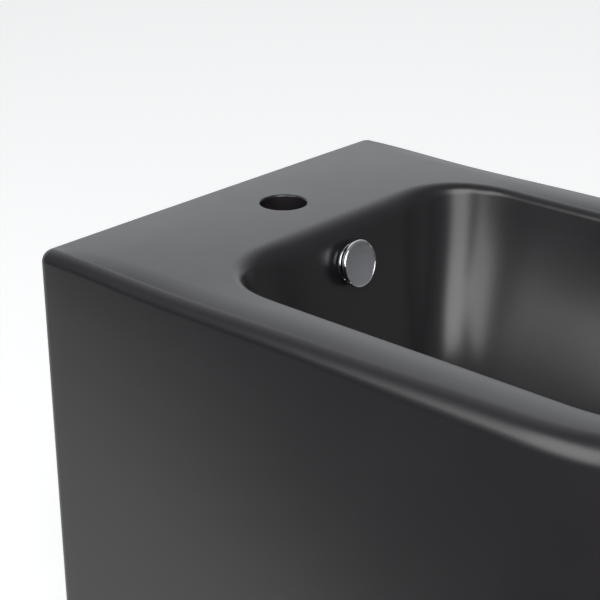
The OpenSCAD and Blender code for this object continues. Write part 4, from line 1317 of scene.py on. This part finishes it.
class BIDET_OT_stage(Operator):
    """Lay the floor and set the light and the camera"""

    bl_idname = "bidet.stage"
    bl_label = "Studio Stage"

    # The floor's painted lit side, which only reflections show, ends at a line through this point, lies this
    # way from the line, and fades between these distances from it. Past it, reflections see painted shade
    LIT_FLOOR_EDGE = (-0.455, 0.22)
    LIT_FLOOR_WAY = (0.922, 0.387)
    LIT_FLOOR_FADE = (-0.05, 0.06)
    # Strength that makes the floor white for the camera, and strength of the painted light on its lit side in
    # reflections
    FLOOR_SEEN = 0.60
    FLOOR_PAINTED_LIGHT = 0.25
    # The side from which the room is brightest, how squarely a direction faces it where the room is
    # dim and where it is bright, and the strength at both
    BRIGHT_WAY = (0.624, 0.744, 0.242)
    ROOM_FACING = (0.30, 0.95)
    ROOM_LIGHT = (0.22, 0.86)
    # Place, size and roll of each soft lamp, and the point that they all look at
    LAMPS = {
        "front_lamp": ((-1.31, -1.64, 1.65), (1.6, 3.1), 0.0),
        "side_lamp": ((-1.95, 0.10, 1.55), (2.0, 1.6), math.radians(-20)),
        "back_lamp": ((2.3, 1.9, 1.8), (2.4, 1.7), 0.0),
    }
    LAMP_AIM = Vector((0.1, 0.1, 0.35))

    def floor(self, stage):
        """A wide pale floor that keeps the object's shadow. In reflections its lit side has painted light,
        and past it painted shade.
        """
        bm = bmesh.new()
        bmesh.ops.create_circle(bm, cap_ends=True, segments=96, radius=stage.floor_r)
        material = bpy.data.materials.new("studio_floor")
        material.use_nodes = True
        tree = material.node_tree
        camera, white = seen_as_white(tree)
        # How far a point lies on the floor's painted lit side of its edge
        source = add_node(tree, "ShaderNodeTexCoord", (-1300, -100))
        offset = add_node(tree, "ShaderNodeVectorMath", (-1100, -100), {
            0: source.outputs["Object"], 1: (*self.LIT_FLOOR_EDGE, 0),
        }, operation="SUBTRACT")
        across = add_node(tree, "ShaderNodeVectorMath", (-900, -100), {
            0: offset.outputs["Vector"], 1: (*self.LIT_FLOOR_WAY, 0),
        }, operation="DOT_PRODUCT")
        sheet = add_node(tree, "ShaderNodeMapRange", (-700, -100), {
            "Value": across.outputs["Value"], "From Min": self.LIT_FLOOR_FADE[0], "From Max": self.LIT_FLOOR_FADE[1],
        }, interpolation_type="SMOOTHSTEP").outputs["Result"]
        # Painted shade: gloss and glass rays off the lit side see the floor in its darker colour
        keep = add_node(tree, "ShaderNodeMath", (-600, -300), {0: camera, 1: sheet}, operation="MAXIMUM")
        far = add_node(tree, "ShaderNodeMath", (-450, -300), {
            0: white, 1: keep.outputs["Value"],
        }, operation="SUBTRACT", use_clamp=True)
        tone = add_node(tree, "ShaderNodeMix", (-250, -300), {
            "Factor": far.outputs["Value"], "A": (*stage.floor, 1), "B": (*stage.floor_painted_shade, 1),
        }, data_type="RGBA")
        # Painted light: gloss rays see the floor's lit side glow
        mirrored_painted_light = add_node(tree, "ShaderNodeMath", (-600, 0), {
            0: sheet, 1: self.FLOOR_PAINTED_LIGHT,
        }, operation="MULTIPLY")
        pick = add_node(tree, "ShaderNodeMix", (-450, 0), {
            "Factor": camera, "A": mirrored_painted_light.outputs["Value"], "B": self.FLOOR_SEEN,
        }, data_type="FLOAT")
        glow = add_node(tree, "ShaderNodeMath", (-250, 0), {
            0: pick.outputs["Result"], 1: white,
        }, operation="MULTIPLY")
        feed(tree.nodes["Principled BSDF"], {
            "Base Color": tone.outputs["Result"], "Roughness": 0.9, "Specular IOR Level": 0.0,
            "Emission Color": (1, 1, 1, 1), "Emission Strength": glow.outputs["Value"],
        })
        piece = new_piece(bm, "studio_floor", [material])

    def world(self, stage):
        """White all round for the camera. For the light it is cool and soft, and brightest at the back."""
        world = bpy.data.worlds.new("studio_world")
        world.use_nodes = True
        tree = world.node_tree
        camera = add_node(tree, "ShaderNodeLightPath", (-1100, 300)).outputs["Is Camera Ray"]
        tint = add_node(tree, "ShaderNodeMix", (-250, 0), {
            "Factor": camera, "A": (*stage.sky, 1), "B": (1, 1, 1, 1),
        }, data_type="RGBA")
        way = add_node(tree, "ShaderNodeTexCoord", (-1100, 0))
        facing = add_node(tree, "ShaderNodeVectorMath", (-900, 0), {
            0: way.outputs["Generated"], 1: self.BRIGHT_WAY,
        }, operation="DOT_PRODUCT")
        room = add_node(tree, "ShaderNodeMapRange", (-700, 0), {
            "Value": facing.outputs["Value"],
            "From Min": self.ROOM_FACING[0], "From Max": self.ROOM_FACING[1],
            "To Min": self.ROOM_LIGHT[0], "To Max": self.ROOM_LIGHT[1],
        }, interpolation_type="SMOOTHSTEP")
        strength = add_node(tree, "ShaderNodeMath", (-450, 300), {
            0: camera, 1: room.outputs["Result"],
        }, operation="MAXIMUM")
        feed(tree.nodes["Background"], {
            "Color": tint.outputs["Result"], "Strength": strength.outputs["Value"],
        })
        bpy.context.scene.world = world

    def lamp(self, name, power):
        """A soft lamp that looks at the shared point, rolled about its own axis."""
        place, size, roll = self.LAMPS[name]
        light = bpy.data.lights.new(name, "AREA")
        light.shape = "RECTANGLE"
        light.size, light.size_y = size
        light.energy = power
        lamp = bpy.data.objects.new(name, light)
        bpy.context.scene.collection.objects.link(lamp)
        lamp.location = place
        turn = (self.LAMP_AIM - Vector(place)).to_track_quat("-Z", "Y")
        lamp.rotation_euler = (turn.to_matrix() @ Matrix.Rotation(roll, 3, "Z")).to_euler()

    def camera(self, stage):
        """The camera at the photograph's angle."""
        data = bpy.data.cameras.new("camera")
        data.lens = stage.lens
        data.clip_end = 4 * stage.floor_r
        camera = bpy.data.objects.new("camera", data)
        bpy.context.scene.collection.objects.link(camera)
        camera.location = stage.camera_place
        camera.rotation_euler = (math.pi / 2 - stage.camera_dip, 0, stage.camera_turn - math.pi / 2)
        bpy.context.scene.camera = camera

    def execute(self, context):
        stage = context.scene.bidet_stage
        self.camera(stage)
        self.floor(stage)
        self.world(stage)
        self.lamp("front_lamp", stage.front_lamp)
        self.lamp("side_lamp", stage.side_lamp)
        self.lamp("back_lamp", stage.back_lamp)
        context.scene.view_settings.view_transform = "Standard"
        return {"FINISHED"}


class BIDET_PT_build(Panel):
    """Lists the steps that build the bidet"""

    bl_label = "Bidet"
    bl_space_type = "VIEW_3D"
    bl_region_type = "UI"
    bl_category = "Bidet"

    def draw(self, context):
        for step in STEPS:
            self.layout.operator(step.bl_idname)
        self.layout.prop(context.scene.bidet_finishes, "glaze")
        self.layout.prop(context.scene.bidet_finishes, "glaze_roughness")


STEPS = (BIDET_OT_stage, BIDET_OT_casting, BIDET_OT_overflow, BIDET_OT_waste, BIDET_OT_floor_fixing)
CLASSES = (CastingSizes, Finishes, StageSettings, *STEPS, BIDET_PT_build)


def register():
    for cls in CLASSES:
        bpy.utils.register_class(cls)
    bpy.types.Scene.bidet_casting = PointerProperty(type=CastingSizes)
    bpy.types.Scene.bidet_finishes = PointerProperty(type=Finishes)
    bpy.types.Scene.bidet_stage = PointerProperty(type=StageSettings)


def unregister():
    del bpy.types.Scene.bidet_stage
    del bpy.types.Scene.bidet_finishes
    del bpy.types.Scene.bidet_casting
    for cls in reversed(CLASSES):
        bpy.utils.unregister_class(cls)


def main():
    """Builds everything in order."""
    register()
    bpy.ops.bidet.stage()
    bpy.ops.bidet.casting()
    bpy.ops.bidet.overflow()
    bpy.ops.bidet.waste()
    bpy.ops.bidet.floor_fixing()


if __name__ == "__main__":
    main()
